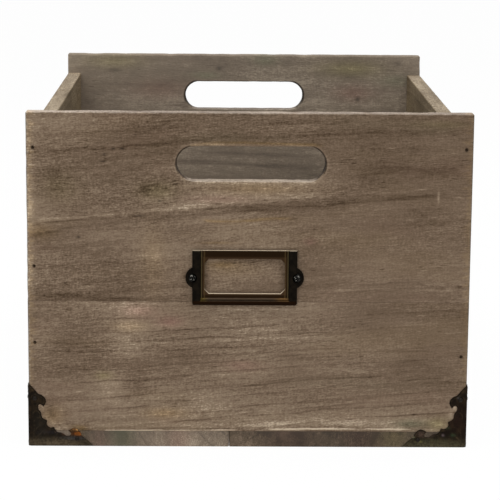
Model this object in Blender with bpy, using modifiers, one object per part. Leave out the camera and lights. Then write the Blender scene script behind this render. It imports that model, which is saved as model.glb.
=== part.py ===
"""Open wooden storage box: four glued board walls, a two-board floor, a label holder and corner plates.

X runs along the front, Y from front to back and Z up, in metres. The origin is the middle of the underside.
Each wall and the floor have a face frame: u runs along the face, v up it and w outwards from its surface.
"""

import math

import bmesh
import bpy
from mathutils import Matrix, Vector

# The box
box_width = 0.300
box_depth = 0.400
box_height = 0.231
board_thickness = 0.011
side_drop = 0.016  # the side walls' tops lie this far below the front and back ones
wide_board_width = 0.129  # the upper board of each wall
floor_joint_x = -0.0128  # where the two floor boards meet
edge_round = 0.0010  # worn round of the outer edges
joint_gap = 0.0003  # kept between pieces that touch

# Hand slots, one in the front and one in the back
slot_length = 0.100
slot_height = 0.0235
slot_top_margin = 0.0227
front_slot_shift = 0.0009  # of the front slot's middle, to the right of the wall's

# Brads, round wire nails set under the surface
brad_radius = 0.0006
brad_length = 0.028
brad_set = 0.0006
brad_point_length = 0.0015
brad_edge_distance = 0.0046
nail_gap = 0.0002
left_brad_height_shares = (0.896, 0.546, 0.316)
right_brad_height_shares = (0.896, 0.278)
floor_brad_width_shares = (-0.30, -0.11, 0.11, 0.30)
floor_brad_depth_shares = (-0.20, 0.20)

# Folded corner plates, with a leaf on each of two faces
plate_arm = 0.044
plate_thickness = 0.0005
plate_pin_across_share = 0.115
plate_pin_along_share = 0.765

# One half of a leaf's fancy edge, from the tip by the fold to the diagonal, as shares of the arm:
# across the face, up the fold, and whether the outline turns sharply there.
leaf_edge_shares = (
    (0.000, 1.020, True),
    (0.092, 0.925, False),
    (0.165, 0.835, True),
    (0.238, 0.800, False),
    (0.284, 0.720, False),
    (0.246, 0.628, True),
    (0.186, 0.668, False),
    (0.162, 0.610, False),
    (0.205, 0.535, False),
    (0.225, 0.455, False),
    (0.302, 0.405, True),
    (0.294, 0.350, False),
)

# Round-headed pins that hold the corner plates
pin_head_radius = 0.0015
pin_head_height = 0.0005
pin_shank_radius = 0.0006
pin_length = 0.0040
pin_point_length = 0.0010

# Label holder: a sheet with a window, a raised rim at its sides and foot, and a bead inside the rim
label_width = 0.0710
label_height = 0.0380
label_centre_x = -0.0029
label_seam_rise = 0.0171  # of its middle, above the seam between the front's boards
label_sheet = 0.0008
label_card_gap = 0.0010
label_rim_rise = 0.0028
label_side_rim = 0.0056
label_foot_rim = 0.0033
label_bead_rise = 0.0024
label_bead_width = 0.0018
label_edge_round = 0.0003
window_side_margin = 0.0083
window_top_margin = 0.0060
window_foot_margin = 0.0083
window_corner_cut = 0.0030
ear_radius = 0.0075
ear_reach = 0.0046
ear_thickness = 0.0010

# Round-headed screws that hold the label holder
screw_head_radius = 0.0029
screw_head_height = 0.0016
screw_shank_radius = 0.0013
screw_length = 0.0092
screw_point_length = 0.0030
screw_inset = 0.0001
screw_rise = -0.0002
screw_recess_width = 0.0006
screw_recess_length = 0.0034
screw_recess_depth = 0.0009

# How round and cut shapes are drawn
cut_overrun = 0.0020
merge_distance = 0.00001
slot_end_steps = 12
nail_sides = 10
screw_sides = 20
hole_sides = 12
ear_steps = 14
dome_steps = 4
leaf_curve_steps = 3

# Colours, roughness and metallic share of each material
looks = {
    "front_wood": ((0.170, 0.125, 0.085), 0.80, 0.0),
    "back_wood": ((0.155, 0.112, 0.076), 0.80, 0.0),
    "side_wood": ((0.290, 0.225, 0.160), 0.80, 0.0),
    "floor_wood": ((0.160, 0.130, 0.100), 0.85, 0.0),
    "dark_bronze": ((0.030, 0.022, 0.016), 0.45, 0.9),
    "antique_brass": ((0.060, 0.044, 0.024), 0.40, 0.9),
    "pin_metal": ((0.045, 0.040, 0.036), 0.35, 0.9),
    "brad_steel": ((0.090, 0.080, 0.070), 0.50, 0.9),
}

# Values that follow from those above
wall_foot = board_thickness + joint_gap
side_height = box_height - side_drop
side_wall_length = box_depth - 2 * (board_thickness + joint_gap)
plate_reach = joint_gap + plate_thickness
headings = {"front": 0.0, "right": math.pi / 2, "back": math.pi, "left": -math.pi / 2}
face_reach = {"front": box_depth / 2, "right": box_width / 2, "back": box_depth / 2, "left": box_width / 2}


def clear_scene():
    """Removes what the file opens with."""
    for old in list(bpy.data.objects):
        bpy.data.objects.remove(old)


def new_collection(name):
    """A collection in the scene, for the parts or for the cutters."""
    made = bpy.data.collections.new(name)
    bpy.context.scene.collection.children.link(made)
    return made


def new_material(name):
    """A Principled material with the colour, roughness and metallic share listed above."""
    colour, roughness, metallic = looks[name]
    made = bpy.data.materials.new(name)
    made.use_nodes = True
    shader = made.node_tree.nodes["Principled BSDF"]
    shader.inputs["Base Color"].default_value = (*colour, 1.0)
    shader.inputs["Roughness"].default_value = roughness
    shader.inputs["Metallic"].default_value = metallic
    return made


clear_scene()
box_parts = new_collection("storage_box")
cutters = new_collection("cutters")
materials = {name: new_material(name) for name in looks}
box_frame = bpy.data.objects.new("box_frame", None)
box_parts.objects.link(box_frame)


def add_part(name, mesh, matrix, look):
    """A named sub-part on the box, placed by its own matrix."""
    part = bpy.data.objects.new(name, mesh)
    box_parts.objects.link(part)
    part.parent = box_frame
    part.matrix_world = matrix
    if not mesh.materials:
        mesh.materials.append(materials[look])
    return part


def add_cutter(name, mesh, matrix):
    """A body that only cuts or joins others, drawn as a wire."""
    cutter = bpy.data.objects.new(name, mesh)
    cutters.objects.link(cutter)
    cutter.matrix_world = matrix
    cutter.hide_render = True
    cutter.display_type = "WIRE"
    return cutter


def boolean(part, cutter, operation):
    """Cuts, joins or limits a part by another body."""
    step = part.modifiers.new(operation.lower(), "BOOLEAN")
    step.operation = operation
    step.solver = "EXACT"
    step.object = cutter


def round_edges(part, width):
    """Rounds a part's sharp edges."""
    step = part.modifiers.new("round", "BEVEL")
    step.width = width
    step.segments = 2
    step.limit_method = "ANGLE"


def face_matrix(wall):
    """The frame of a wall's outer face, with its origin at the middle of the face's foot."""
    turn = Matrix.Rotation(headings[wall], 4, "Z")
    return turn @ Matrix.Translation((0, -face_reach[wall], 0)) @ Matrix.Rotation(math.pi / 2, 4, "X")


def floor_matrix():
    """The frame of the underside, whose w points down and whose v points to the front."""
    return Matrix.Rotation(math.pi, 4, "X")


def box_mesh(name, low, high):
    """A box between two corners."""
    shape = bmesh.new()
    bmesh.ops.create_cube(shape, size=1.0)
    size = Vector(high) - Vector(low)
    middle = (Vector(high) + Vector(low)) / 2
    place = Matrix.Translation(middle) @ Matrix.Diagonal((*size, 1))
    bmesh.ops.transform(shape, matrix=place, verts=shape.verts)
    mesh = bpy.data.meshes.new(name)
    shape.to_mesh(mesh)
    shape.free()
    return mesh


def curve_to_mesh(curve):
    """The closed mesh of a filled flat curve, its caps welded to its rim."""
    holder = bpy.data.objects.new(curve.name, curve)
    cutters.objects.link(holder)
    graph = bpy.context.evaluated_depsgraph_get()
    mesh = bpy.data.meshes.new_from_object(holder.evaluated_get(graph))
    mesh.name = curve.name
    bpy.data.objects.remove(holder)
    shape = bmesh.new()
    shape.from_mesh(mesh)
    bmesh.ops.remove_doubles(shape, verts=shape.verts, dist=merge_distance)
    bmesh.ops.recalc_face_normals(shape, faces=shape.faces)
    shape.to_mesh(mesh)
    shape.free()
    return mesh


def flat_curve(name, thickness, rounding):
    """An empty filled curve of a given thickness, centred on its plane, with rounded rims."""
    curve = bpy.data.curves.new(name, "CURVE")
    curve.dimensions = "2D"
    curve.fill_mode = "BOTH"
    curve.extrude = thickness / 2 - rounding
    curve.bevel_depth = rounding
    curve.offset = -rounding
    curve.bevel_resolution = 1
    return curve


def add_outline(curve, points):
    """Adds one closed outline to a flat curve."""
    spline = curve.splines.new("POLY")
    spline.points.add(len(points) - 1)
    for point, place in zip(spline.points, points):
        point.co = (*place, 0, 1)
    spline.use_cyclic_u = True


def plate_mesh(name, outlines, thickness, rounding=0):
    """A flat plate with the first outline as its edge and the others as its holes."""
    curve = flat_curve(name, thickness, rounding)
    for points in outlines:
        add_outline(curve, points)
    return curve_to_mesh(curve)


def rectangle(low, high):
    """The corners of an upright rectangle."""
    return [(low[0], low[1]), (high[0], low[1]), (high[0], high[1]), (low[0], high[1])]


def arc(centre, radius, start, end, steps):
    """Points along an arc, with both its ends, angles in radians."""
    turns = [start + (end - start) * step / steps for step in range(steps + 1)]
    return [(centre[0] + radius * math.cos(turn), centre[1] + radius * math.sin(turn)) for turn in turns]


def slot_outline(shift):
    """The hand slot, with full round ends, its middle moved along the wall by a shift."""
    radius = slot_height / 2
    run = slot_length / 2 - radius
    middle = box_height - slot_top_margin - radius
    right_end = arc((shift + run, middle), radius, -math.pi / 2, math.pi / 2, slot_end_steps)
    left_end = arc((shift - run, middle), radius, math.pi / 2, math.pi * 3 / 2, slot_end_steps)
    return right_end + left_end


def holes_mesh(name, places, radius, depth, above=cut_overrun):
    """Round holes, one for each place, from a height above w = 0 down to a depth below it."""
    shape = bmesh.new()
    for place in places:
        rod = bmesh.ops.create_cone(
            shape,
            cap_ends=True,
            segments=hole_sides,
            radius1=radius,
            radius2=radius,
            depth=depth + above,
        )
        bmesh.ops.translate(shape, vec=(0, 0, (above - depth) / 2), verts=rod["verts"])
        bmesh.ops.transform(shape, matrix=place, verts=rod["verts"])
    mesh = bpy.data.meshes.new(name)
    shape.to_mesh(mesh)
    shape.free()
    return mesh


def dome_profile(head_radius, head_height, shank_radius, length, point_length):
    """Half section of a round-headed nail or screw, from the top of its head to its point."""
    profile = []
    for step in range(dome_steps):
        turn = math.pi / 2 * step / dome_steps
        profile.append((head_radius * math.sin(turn), head_height * math.cos(turn)))
    profile += [(head_radius, 0), (shank_radius, 0), (shank_radius, point_length - length), (0, -length)]
    return profile


def brad_profile():
    """Half section of a brad, whose top is flat."""
    return [(0, 0), (brad_radius, 0), (brad_radius, brad_point_length - brad_length), (0, -brad_length)]


def profile_mesh(name, profile):
    """An open half section in the XZ plane, ready to be turned."""
    mesh = bpy.data.meshes.new(name)
    edges = [(index, index + 1) for index in range(len(profile) - 1)]
    mesh.from_pydata([(radius, 0, height) for radius, height in profile], edges, [])
    return mesh


def turn_profile(part, sides):
    """Turns a half section into a solid about its own axis."""
    step = part.modifiers.new("turn", "SCREW")
    step.steps = sides
    step.render_steps = sides
    step.use_merge_vertices = True
    step.merge_threshold = merge_distance
    step.use_smooth_shade = True


# Where the nails go, as a matrix for each: its axis is local Z and its head points outwards.
def wall_brad_places():
    """The brads through the front and back walls into the side walls, by name."""
    places = {}
    across = box_width / 2 - brad_edge_distance
    for wall, leftward in (("front", -1), ("back", 1)):
        for side, shares in (("left", left_brad_height_shares), ("right", right_brad_height_shares)):
            toward = leftward if side == "left" else -leftward
            for index, share in enumerate(shares):
                place = Matrix.Translation((toward * across, share * box_height, -brad_set))
                places[f"wall_brad_{wall}_{side}_{index + 1}"] = face_matrix(wall) @ place
    return places


def floor_brad_places():
    """The brads up through the floor boards into the walls, by name."""
    places = {}
    inset = board_thickness / 2
    for end, toward in (("front", 1), ("back", -1)):
        for index, share in enumerate(floor_brad_width_shares):
            place = Matrix.Translation((share * box_width, toward * (box_depth / 2 - inset), -brad_set))
            places[f"floor_brad_{end}_{index + 1}"] = floor_matrix() @ place
    for side, toward in (("left", -1), ("right", 1)):
        for index, share in enumerate(floor_brad_depth_shares):
            place = Matrix.Translation((toward * (box_width / 2 - inset), share * box_depth, -brad_set))
            places[f"floor_brad_{side}_{index + 1}"] = floor_matrix() @ place
    return places


# The corners, each with its plate's turn: the first leaf lies along local -X, the second along local +Y.
corners = {
    "front_right": (box_width / 2, -box_depth / 2, 0.0),
    "back_right": (box_width / 2, box_depth / 2, math.pi / 2),
    "back_left": (-box_width / 2, box_depth / 2, math.pi),
    "front_left": (-box_width / 2, -box_depth / 2, -math.pi / 2),
}


def corner_matrix(corner):
    """The frame of a corner of the box, at the height of the underside."""
    x, y, turn = corners[corner]
    return Matrix.Translation((x, y, 0)) @ Matrix.Rotation(turn, 4, "Z")


def leaf_matrix(leaf):
    """The frame of a leaf's outer face in its corner's frame: u away from the fold, v up, w outwards."""
    fold = Matrix.Translation((plate_reach, -plate_reach, joint_gap))
    upright = Matrix.Rotation(math.pi / 2, 4, "X")
    if leaf == "second":
        return fold @ Matrix.Rotation(math.pi / 2, 4, "Z") @ upright
    return fold @ upright


def pin_places():
    """The corner plates' pins by name, four for each plate."""
    places = {}
    along = plate_pin_along_share * plate_arm
    across = plate_pin_across_share * plate_arm
    for corner in corners:
        for leaf, away in (("first", -1), ("second", 1)):
            for spot, (u, v) in (("high", (across, along)), ("low", (along, across))):
                place = Matrix.Translation((away * u, v, joint_gap))
                matrix = corner_matrix(corner) @ leaf_matrix(leaf) @ place
                places[f"plate_pin_{corner}_{leaf}_{spot}"] = matrix
    return places


def label_matrix():
    """The frame of the label holder's back, centred on the holder."""
    height = box_height - wide_board_width + label_seam_rise
    return face_matrix("front") @ Matrix.Translation((label_centre_x, height, joint_gap))


def screw_places():
    """The label holder's screws by name, at the height of the ears' faces."""
    across = label_width / 2 - screw_inset
    places = {}
    for side, toward in (("left", -1), ("right", 1)):
        place = Matrix.Translation((toward * across, screw_rise, ear_thickness + joint_gap))
        places[f"label_screw_{side}"] = label_matrix() @ place
    return places


wall_brads = wall_brad_places()
floor_brads = floor_brad_places()
pins = pin_places()
screws = screw_places()


def hole_cutters():
    """One cutter for each kind of nail hole, and one for the screws' holes."""
    kinds = (
        ("wall_brad_holes", wall_brads, brad_radius, brad_length),
        ("floor_brad_holes", floor_brads, brad_radius, brad_length),
        ("pin_holes", pins, pin_shank_radius, pin_length),
        ("screw_holes", screws, screw_shank_radius, screw_length),
    )
    made = {}
    for name, places, radius, length in kinds:
        mesh = holes_mesh(name, places.values(), radius + nail_gap, length + nail_gap)
        made[name] = add_cutter(name, mesh, Matrix.Identity(4))
    return made


holes = hole_cutters()


def add_wall(wall, length, height, outlines, look, hole_names):
    """A wall of two boards, glued edge to edge, cut from one panel with rounded outer edges."""
    panel = plate_mesh(f"{wall}_panel", outlines, board_thickness, edge_round)
    matrix = face_matrix(wall) @ Matrix.Translation((0, 0, -board_thickness / 2))
    seam = height - wide_board_width
    reach = length / 2 + cut_overrun
    deep = board_thickness + cut_overrun
    zones = {
        "upper": (seam + joint_gap / 2, height + cut_overrun),
        "lower": (wall_foot - cut_overrun, seam - joint_gap / 2),
    }
    for level, (low, high) in zones.items():
        board = add_part(f"{wall}_{level}_board", panel.copy(), matrix, look)
        zone_mesh = box_mesh(f"{wall}_{level}_zone", (-reach, low, -deep), (reach, high, deep))
        boolean(board, add_cutter(f"{wall}_{level}_zone", zone_mesh, matrix), "INTERSECT")
        for name in hole_names:
            boolean(board, holes[name], "DIFFERENCE")


def add_walls():
    """The four walls. The side walls stand between the front and the back."""
    end_edge = rectangle((-box_width / 2, wall_foot), (box_width / 2, box_height))
    side_edge = rectangle((-side_wall_length / 2, wall_foot), (side_wall_length / 2, side_height))
    nails = ["wall_brad_holes", "floor_brad_holes"]
    front_outlines = [end_edge, slot_outline(front_slot_shift)]
    back_outlines = [end_edge, slot_outline(0)]
    front_holes = nails + ["pin_holes", "screw_holes"]
    add_wall("front", box_width, box_height, front_outlines, "front_wood", front_holes)
    add_wall("back", box_width, box_height, back_outlines, "back_wood", nails + ["pin_holes"])
    for side in ("left", "right"):
        add_wall(side, side_wall_length, side_height, [side_edge], "side_wood", nails + ["pin_holes"])


def add_floor():
    """The two floor boards, side by side under the walls."""
    spans = {
        "left": (-box_width / 2, floor_joint_x - joint_gap / 2),
        "right": (floor_joint_x + joint_gap / 2, box_width / 2),
    }
    for side, (low, high) in spans.items():
        corner_low = (low, -box_depth / 2, 0)
        corner_high = (high, box_depth / 2, board_thickness)
        mesh = box_mesh(f"floor_{side}_board", corner_low, corner_high)
        board = add_part(f"floor_{side}_board", mesh, Matrix.Identity(4), "floor_wood")
        round_edges(board, edge_round)
        boolean(board, holes["floor_brad_holes"], "DIFFERENCE")
        boolean(board, holes["pin_holes"], "DIFFERENCE")


def leaf_mesh(name, away):
    """One leaf of a corner plate, whose edge is the same on both sides of its diagonal."""
    curve = flat_curve(name, plate_thickness, 0)
    half = list(leaf_edge_shares)
    whole = half + [(along, across, sharp) for across, along, sharp in reversed(half)]
    whole.append((0, 0, True))
    spline = curve.splines.new("BEZIER")
    spline.bezier_points.add(len(whole) - 1)
    for point, (across, along, sharp) in zip(spline.bezier_points, whole):
        handle = "VECTOR" if sharp else "AUTO"
        point.handle_left_type = handle
        point.handle_right_type = handle
        point.co = (away * across * plate_arm, along * plate_arm, -plate_thickness / 2)
    spline.use_cyclic_u = True
    spline.resolution_u = leaf_curve_steps
    return curve_to_mesh(curve)


def add_corner_plates():
    """Four folded plates, each of two leaves joined at the fold."""
    first_leaf = leaf_mesh("corner_plate_leaf", -1)
    second_leaf = leaf_mesh("corner_plate_second_leaf", 1)
    for corner in corners:
        first = corner_matrix(corner) @ leaf_matrix("first")
        second = corner_matrix(corner) @ leaf_matrix("second")
        plate = add_part(f"corner_plate_{corner}", first_leaf, first, "dark_bronze")
        boolean(plate, add_cutter(f"second_leaf_{corner}", second_leaf, second), "UNION")
        boolean(plate, holes["pin_holes"], "DIFFERENCE")


def rim_outline(side, foot, inset_side, inset_foot):
    """A U open at the top, along the label holder's sides and foot."""
    half_width = label_width / 2
    half_height = label_height / 2
    outer = half_width - inset_side
    inner = outer - side
    low = inset_foot - half_height
    return [
        (-outer, half_height),
        (-outer, low),
        (outer, low),
        (outer, half_height),
        (inner, half_height),
        (inner, low + foot),
        (-inner, low + foot),
        (-inner, half_height),
    ]


def window_outline():
    """The label window, with its corners cut off."""
    right = label_width / 2 - window_side_margin
    low = window_foot_margin - label_height / 2
    high = label_height / 2 - window_top_margin
    cut = window_corner_cut
    return [
        (-right + cut, low),
        (right - cut, low),
        (right, low + cut),
        (right, high - cut),
        (right - cut, high),
        (-right + cut, high),
        (-right, high - cut),
        (-right, low + cut),
    ]


def ears_mesh():
    """A strip behind the label holder that ends in a round ear at each side."""
    centre = label_width / 2 + ear_reach - ear_radius
    right_ear = arc((centre, screw_rise), ear_radius, -math.pi / 2, math.pi / 2, ear_steps)
    left_ear = arc((-centre, screw_rise), ear_radius, math.pi / 2, math.pi * 3 / 2, ear_steps)
    return plate_mesh("label_ears", [right_ear + left_ear], ear_thickness)


def add_label_holder():
    """The label holder: window sheet, rim, bead and ears in one piece, with a card gap behind the sheet."""
    half_width = label_width / 2
    half_height = label_height / 2
    sheet_edge = rectangle((-half_width, -half_height), (half_width, half_height))
    sheet_mesh = plate_mesh("label_holder", [sheet_edge, window_outline()], label_sheet)
    middle = label_card_gap + label_sheet / 2
    seat = label_matrix()
    holder = add_part("label_holder", sheet_mesh, seat @ Matrix.Translation((0, 0, middle)), "antique_brass")
    bead_edge = rim_outline(label_bead_width, label_bead_width, label_side_rim, label_foot_rim)
    layers = (
        ("label_rim", rim_outline(label_side_rim, label_foot_rim, 0, 0), label_rim_rise),
        ("label_bead", bead_edge, label_bead_rise),
    )
    for name, outline, rise in layers:
        mesh = plate_mesh(name, [outline], rise, label_edge_round)
        boolean(holder, add_cutter(name, mesh, seat @ Matrix.Translation((0, 0, rise / 2))), "UNION")
    ears = add_cutter("label_ears", ears_mesh(), seat @ Matrix.Translation((0, 0, ear_thickness / 2)))
    boolean(holder, ears, "UNION")
    pocket_low = (label_side_rim - half_width, label_foot_rim - half_height, -cut_overrun)
    pocket_high = (half_width - label_side_rim, half_height + cut_overrun, label_card_gap)
    pocket = box_mesh("card_pocket", pocket_low, pocket_high)
    boolean(holder, add_cutter("card_pocket", pocket, seat), "DIFFERENCE")
    seat_radius = screw_head_radius + joint_gap
    seats = holes_mesh("screw_seats", screws.values(), seat_radius, joint_gap, label_rim_rise)
    boolean(holder, add_cutter("screw_seats", seats, Matrix.Identity(4)), "DIFFERENCE")
    boolean(holder, holes["screw_holes"], "DIFFERENCE")


def recess_mesh():
    """The cross recess in a screw's head."""
    long = screw_recess_length / 2
    wide = screw_recess_width / 2
    quarter = [(long, -wide), (long, wide), (wide, wide)]
    cross = []
    for turn in range(4):
        spin = Matrix.Rotation(turn * math.pi / 2, 2)
        cross += [tuple(spin @ Vector(point)) for point in quarter]
    return plate_mesh("screw_recess", [cross], screw_recess_depth + cut_overrun)


def add_fasteners():
    """The brads, the plates' pins and the label holder's screws."""
    brad_mesh = profile_mesh("brad", brad_profile())
    for name, place in {**wall_brads, **floor_brads}.items():
        turn_profile(add_part(name, brad_mesh, place, "brad_steel"), nail_sides)
    pin_shape = dome_profile(pin_head_radius, pin_head_height, pin_shank_radius, pin_length, pin_point_length)
    pin_mesh = profile_mesh("pin", pin_shape)
    for name, place in pins.items():
        turn_profile(add_part(name, pin_mesh, place, "pin_metal"), nail_sides)
    screw_sizes = (screw_head_radius, screw_head_height, screw_shank_radius, screw_length, screw_point_length)
    screw_mesh = profile_mesh("screw", dome_profile(*screw_sizes))
    recess = recess_mesh()
    sink = Matrix.Translation((0, 0, screw_head_height + (cut_overrun - screw_recess_depth) / 2))
    for name, place in screws.items():
        screw = add_part(name, screw_mesh, place, "pin_metal")
        turn_profile(screw, screw_sides)
        boolean(screw, add_cutter(f"{name}_recess", recess, place @ sink), "DIFFERENCE")


add_walls()
add_floor()
add_corner_plates()
add_label_holder()
add_fasteners()
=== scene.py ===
"""The finish of an open wooden storage box: weathered boards, a label holder and folded corner plates.

Each wall and the floor have a face frame: u runs along the grain, v across it and w out of the outer face.
"""

import math

import bmesh
import bpy
import numpy as np
from mathutils import Matrix, Vector, noise
from mathutils.geometry import delaunay_2d_cdt


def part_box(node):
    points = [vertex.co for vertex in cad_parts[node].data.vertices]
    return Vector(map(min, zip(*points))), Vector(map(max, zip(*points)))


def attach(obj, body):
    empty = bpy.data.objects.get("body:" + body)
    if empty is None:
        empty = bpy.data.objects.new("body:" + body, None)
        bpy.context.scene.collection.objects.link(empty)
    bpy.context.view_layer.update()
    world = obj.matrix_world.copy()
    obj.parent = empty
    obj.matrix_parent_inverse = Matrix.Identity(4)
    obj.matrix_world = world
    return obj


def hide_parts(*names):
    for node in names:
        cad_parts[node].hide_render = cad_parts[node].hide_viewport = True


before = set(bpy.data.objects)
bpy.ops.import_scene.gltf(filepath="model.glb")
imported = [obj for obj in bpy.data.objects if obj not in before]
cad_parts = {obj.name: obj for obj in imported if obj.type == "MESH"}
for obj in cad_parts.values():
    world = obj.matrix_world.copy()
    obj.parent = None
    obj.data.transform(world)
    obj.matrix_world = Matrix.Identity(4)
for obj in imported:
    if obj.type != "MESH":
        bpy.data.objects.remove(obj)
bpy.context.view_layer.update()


def srgb(red, green, blue):
    """A linear colour from the 0 to 255 values of a screen colour."""
    shares = [c / 255 for c in (red, green, blue)]
    return tuple(c / 12.92 if c <= 0.04045 else ((c + 0.055) / 1.055) ** 2.4 for c in shares) + (1.0,)


# The photograph's camera
camera_place = Vector((-0.01933, -1.57386, 0.40630))
camera_yaw = math.radians(0.8292)
camera_pitch = math.radians(11.0517)
camera_roll = math.radians(0.4666)
camera_lens = 149.18

mm = 0.001

# Boards, and how far each wall is turned from the front, in degrees
headings = {"front": 0, "right": 90, "back": 180, "left": -90}
outline_step = 0.0025
corner_radius = 0.0010
seam_corner_radius = 0.0003
least_corner = 0.00005
worn_rim = 0.0011
seam_rim = 0.00015
foot_rim = 0.00018
foot_close = 0.00027
seam_gap = 0.00004
slot_rim = 0.0008
rim_steps = 4
flat_margin = 0.0008
face_grid = 0.012
wear_depth = 0.00035
wear_length = 0.012
wear_spread = 0.15
brad_hole_radius = 0.0011
brad_hole_depth = 0.0016
brad_hole_points = 12
brad_hole_tear = 0.16
# Share of the radius and share of the depth, from the face down
brad_hole_profile = ((1.25, 0.0), (1.0, 0.2), (0.92, 1.0))
# Dark stains round the brads: strengths above and below a height, half sizes in millimetres
brad_stain_height = 0.15
brad_stains = {"high": 0.75, "low": 0.2}
brad_stain_size = (1.0, 1.4)
slot_length = 0.100
slot_height = 0.0235
slot_top_margin = 0.0227
front_slot_shift = 0.0009
slot_step = outline_step / 1.6

# Corner plates, folded round the box's vertical edges
plate_arm = 0.044
plate_fold_radius = 0.0015
plate_thickness = 0.0005
plate_grid = 0.0008
plate_edge_step = 0.0006
plate_edge_drop = 0.00015
plate_border_place = 0.0012
plate_ridge_width = 0.00042
plate_ridge_height = 0.00026
plate_rosette_radius = 0.0027
plate_pin_share = Vector((0.115, 0.765))

# One half of a leaf's fancy edge, from the tip by the fold to the diagonal, as shares of the arm:
# across the face, up the fold, and whether the outline turns sharply there
leaf_edge_shares = (
    (0.000, 1.020, True),
    (0.092, 0.925, False),
    (0.165, 0.835, True),
    (0.238, 0.800, False),
    (0.284, 0.720, False),
    (0.246, 0.628, True),
    (0.186, 0.668, False),
    (0.162, 0.610, False),
    (0.205, 0.535, False),
    (0.225, 0.455, False),
    (0.302, 0.405, True),
    (0.294, 0.350, False),
)

# Raised veins of half a leaf, as shares of the arm
leaf_vein_shares = (
    ((0.045, 0.045), (0.170, 0.160), (0.255, 0.255)),
    ((0.085, 0.110), (0.100, 0.300), (0.075, 0.500), (0.095, 0.640)),
    ((0.098, 0.230), (0.150, 0.300), (0.230, 0.335)),
    ((0.090, 0.370), (0.130, 0.440), (0.190, 0.455)),
    ((0.078, 0.490), (0.110, 0.560), (0.165, 0.560)),
    ((0.040, 0.860), (0.075, 0.880), (0.060, 0.910)),
)

# Rust and grime on the plates, and painted light: the small pale, olive and green spots, with the two at z 35
# round the pin heads, are painted glints, and the two wide bands along the feet are a painted sheen. Each is
# a colour, strength, x, z, half width, half height, in millimetres
plate_grime_and_glints = (
    ((112, 78, 46), 1.0, -118.6, 12.1, 3.4, 1.3),
    ((150, 84, 30), 1.0, -115.9, 8.9, 3.4, 1.2),
    ((196, 150, 90), 0.9, -117.2, 11.6, 0.7, 0.5),
    ((116, 76, 50), 0.6, -124.1, 9.2, 2.6, 1.2),
    ((62, 66, 72), 0.6, -120.0, 5.7, 7.0, 1.4),
    ((92, 80, 62), 0.9, -132.4, 2.2, 25.0, 3.4),
    ((40, 36, 29), 0.5, -142.6, 14.8, 5.0, 12.0),
    ((44, 40, 44), 0.4, -135.8, 9.9, 8.0, 1.6),
    ((78, 68, 56), 0.5, -145.4, 35.0, 1.5, 1.5),
    ((150, 142, 112), 0.7, 113.8, 7.4, 1.0, 0.6),
    ((142, 134, 70), 0.7, 118.1, 4.2, 1.8, 0.7),
    ((84, 78, 58), 0.9, 129.0, 1.2, 27.0, 4.0),
    ((60, 60, 42), 0.5, 127.0, 4.6, 9.0, 1.4),
    ((38, 22, 16), 0.6, 143.5, 20.0, 7.0, 11.0),
    ((84, 66, 56), 0.8, 119.3, 9.5, 3.0, 2.0),
    ((92, 76, 64), 0.5, 124.6, 8.8, 3.2, 1.8),
    ((120, 104, 104), 0.6, 134.5, 8.9, 0.9, 0.8),
    ((52, 66, 44), 0.6, 141.4, 8.9, 2.0, 1.2),
    ((50, 60, 40), 0.5, 137.8, 13.9, 1.6, 1.0),
    ((96, 90, 86), 0.6, 144.5, 35.2, 1.0, 1.0),
)

# Label holder: a sheet with a window, a rolled rim at its sides and foot, and a bead inside the rim
label_width = 0.0710
label_height = 0.0380
label_sheet_low = 0.0010
label_sheet_high = 0.0018
label_side_rim = 0.0056
label_foot_rim = 0.0033
label_corner = 0.0014
label_corner_steps = 6
least_label_corner = 0.0002
window_side_margin = 0.0083
window_top_margin = 0.0060
window_foot_margin = 0.0083
window_corner_cut = 0.0030
window_lip = 0.0002
window_right = label_width / 2 - window_side_margin
window_low = window_foot_margin - label_height / 2
window_high = label_height / 2 - window_top_margin
# Rubbed lines beside the window: distance in from the rim, strength and colour
label_rubbed_lines = ((0.0007, 0.95, (66, 56, 36)), (0.0026, 0.7, (68, 54, 32)))
ear_radius = 0.0075
ear_reach = 0.0046
ear_thickness = 0.0010
ear_rise = -0.0002
ear_steps = 28
# The rim's and the bead's cross-sections: share of the way in from the outer edge, and height
rim_section = ((0.0, 0.0), (0.0, 0.0019), (0.05, 0.0024), (0.16, 0.0027), (0.40, 0.0028), (0.70, 0.0028),
               (0.90, 0.0026), (1.0, 0.0021), (1.0, 0.0))
bead_width = 0.0018
bead_section = ((-0.06, 0.0012), (-0.06, 0.0019), (0.12, 0.0021), (0.35, 0.0024), (0.60, 0.0024),
                (0.82, 0.0021), (1.0, 0.0016), (1.0, 0.0012))

# Pin heads and screws: radius and height of points down the side, from the top of the head
turned_steps = 28
pin_profile = ((0.0, 0.0005), (0.0005, 0.00047), (0.0009, 0.00038), (0.0012, 0.00026), (0.00142, 0.00012),
               (0.0015, 0.00004), (0.0015, 0.0), (0.0006, 0.0), (0.0006, -0.003), (0.0, -0.004))
side_pin_sink = 0.0003
screw_profile = ((0.0, 0.0016), (0.0009, 0.00153), (0.0017, 0.00128), (0.0023, 0.0009), (0.0027, 0.0005),
                 (0.0029, 0.00015), (0.0029, 0.0), (0.0013, 0.0), (0.0013, -0.0062), (0.0, -0.0090))
screw_inset = 0.0001
screw_seat_radius = 0.0032
screw_seat_top = 0.0040
screw_recess_width = 0.0006
screw_recess_length = 0.0034
screw_recess_depth = 0.0009
screw_turns = {"label_screw_left": 24, "label_screw_right": -38}
metal_grain = 900

# Floor
floor_size = 16.0
floor_drop = 0.0002


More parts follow.
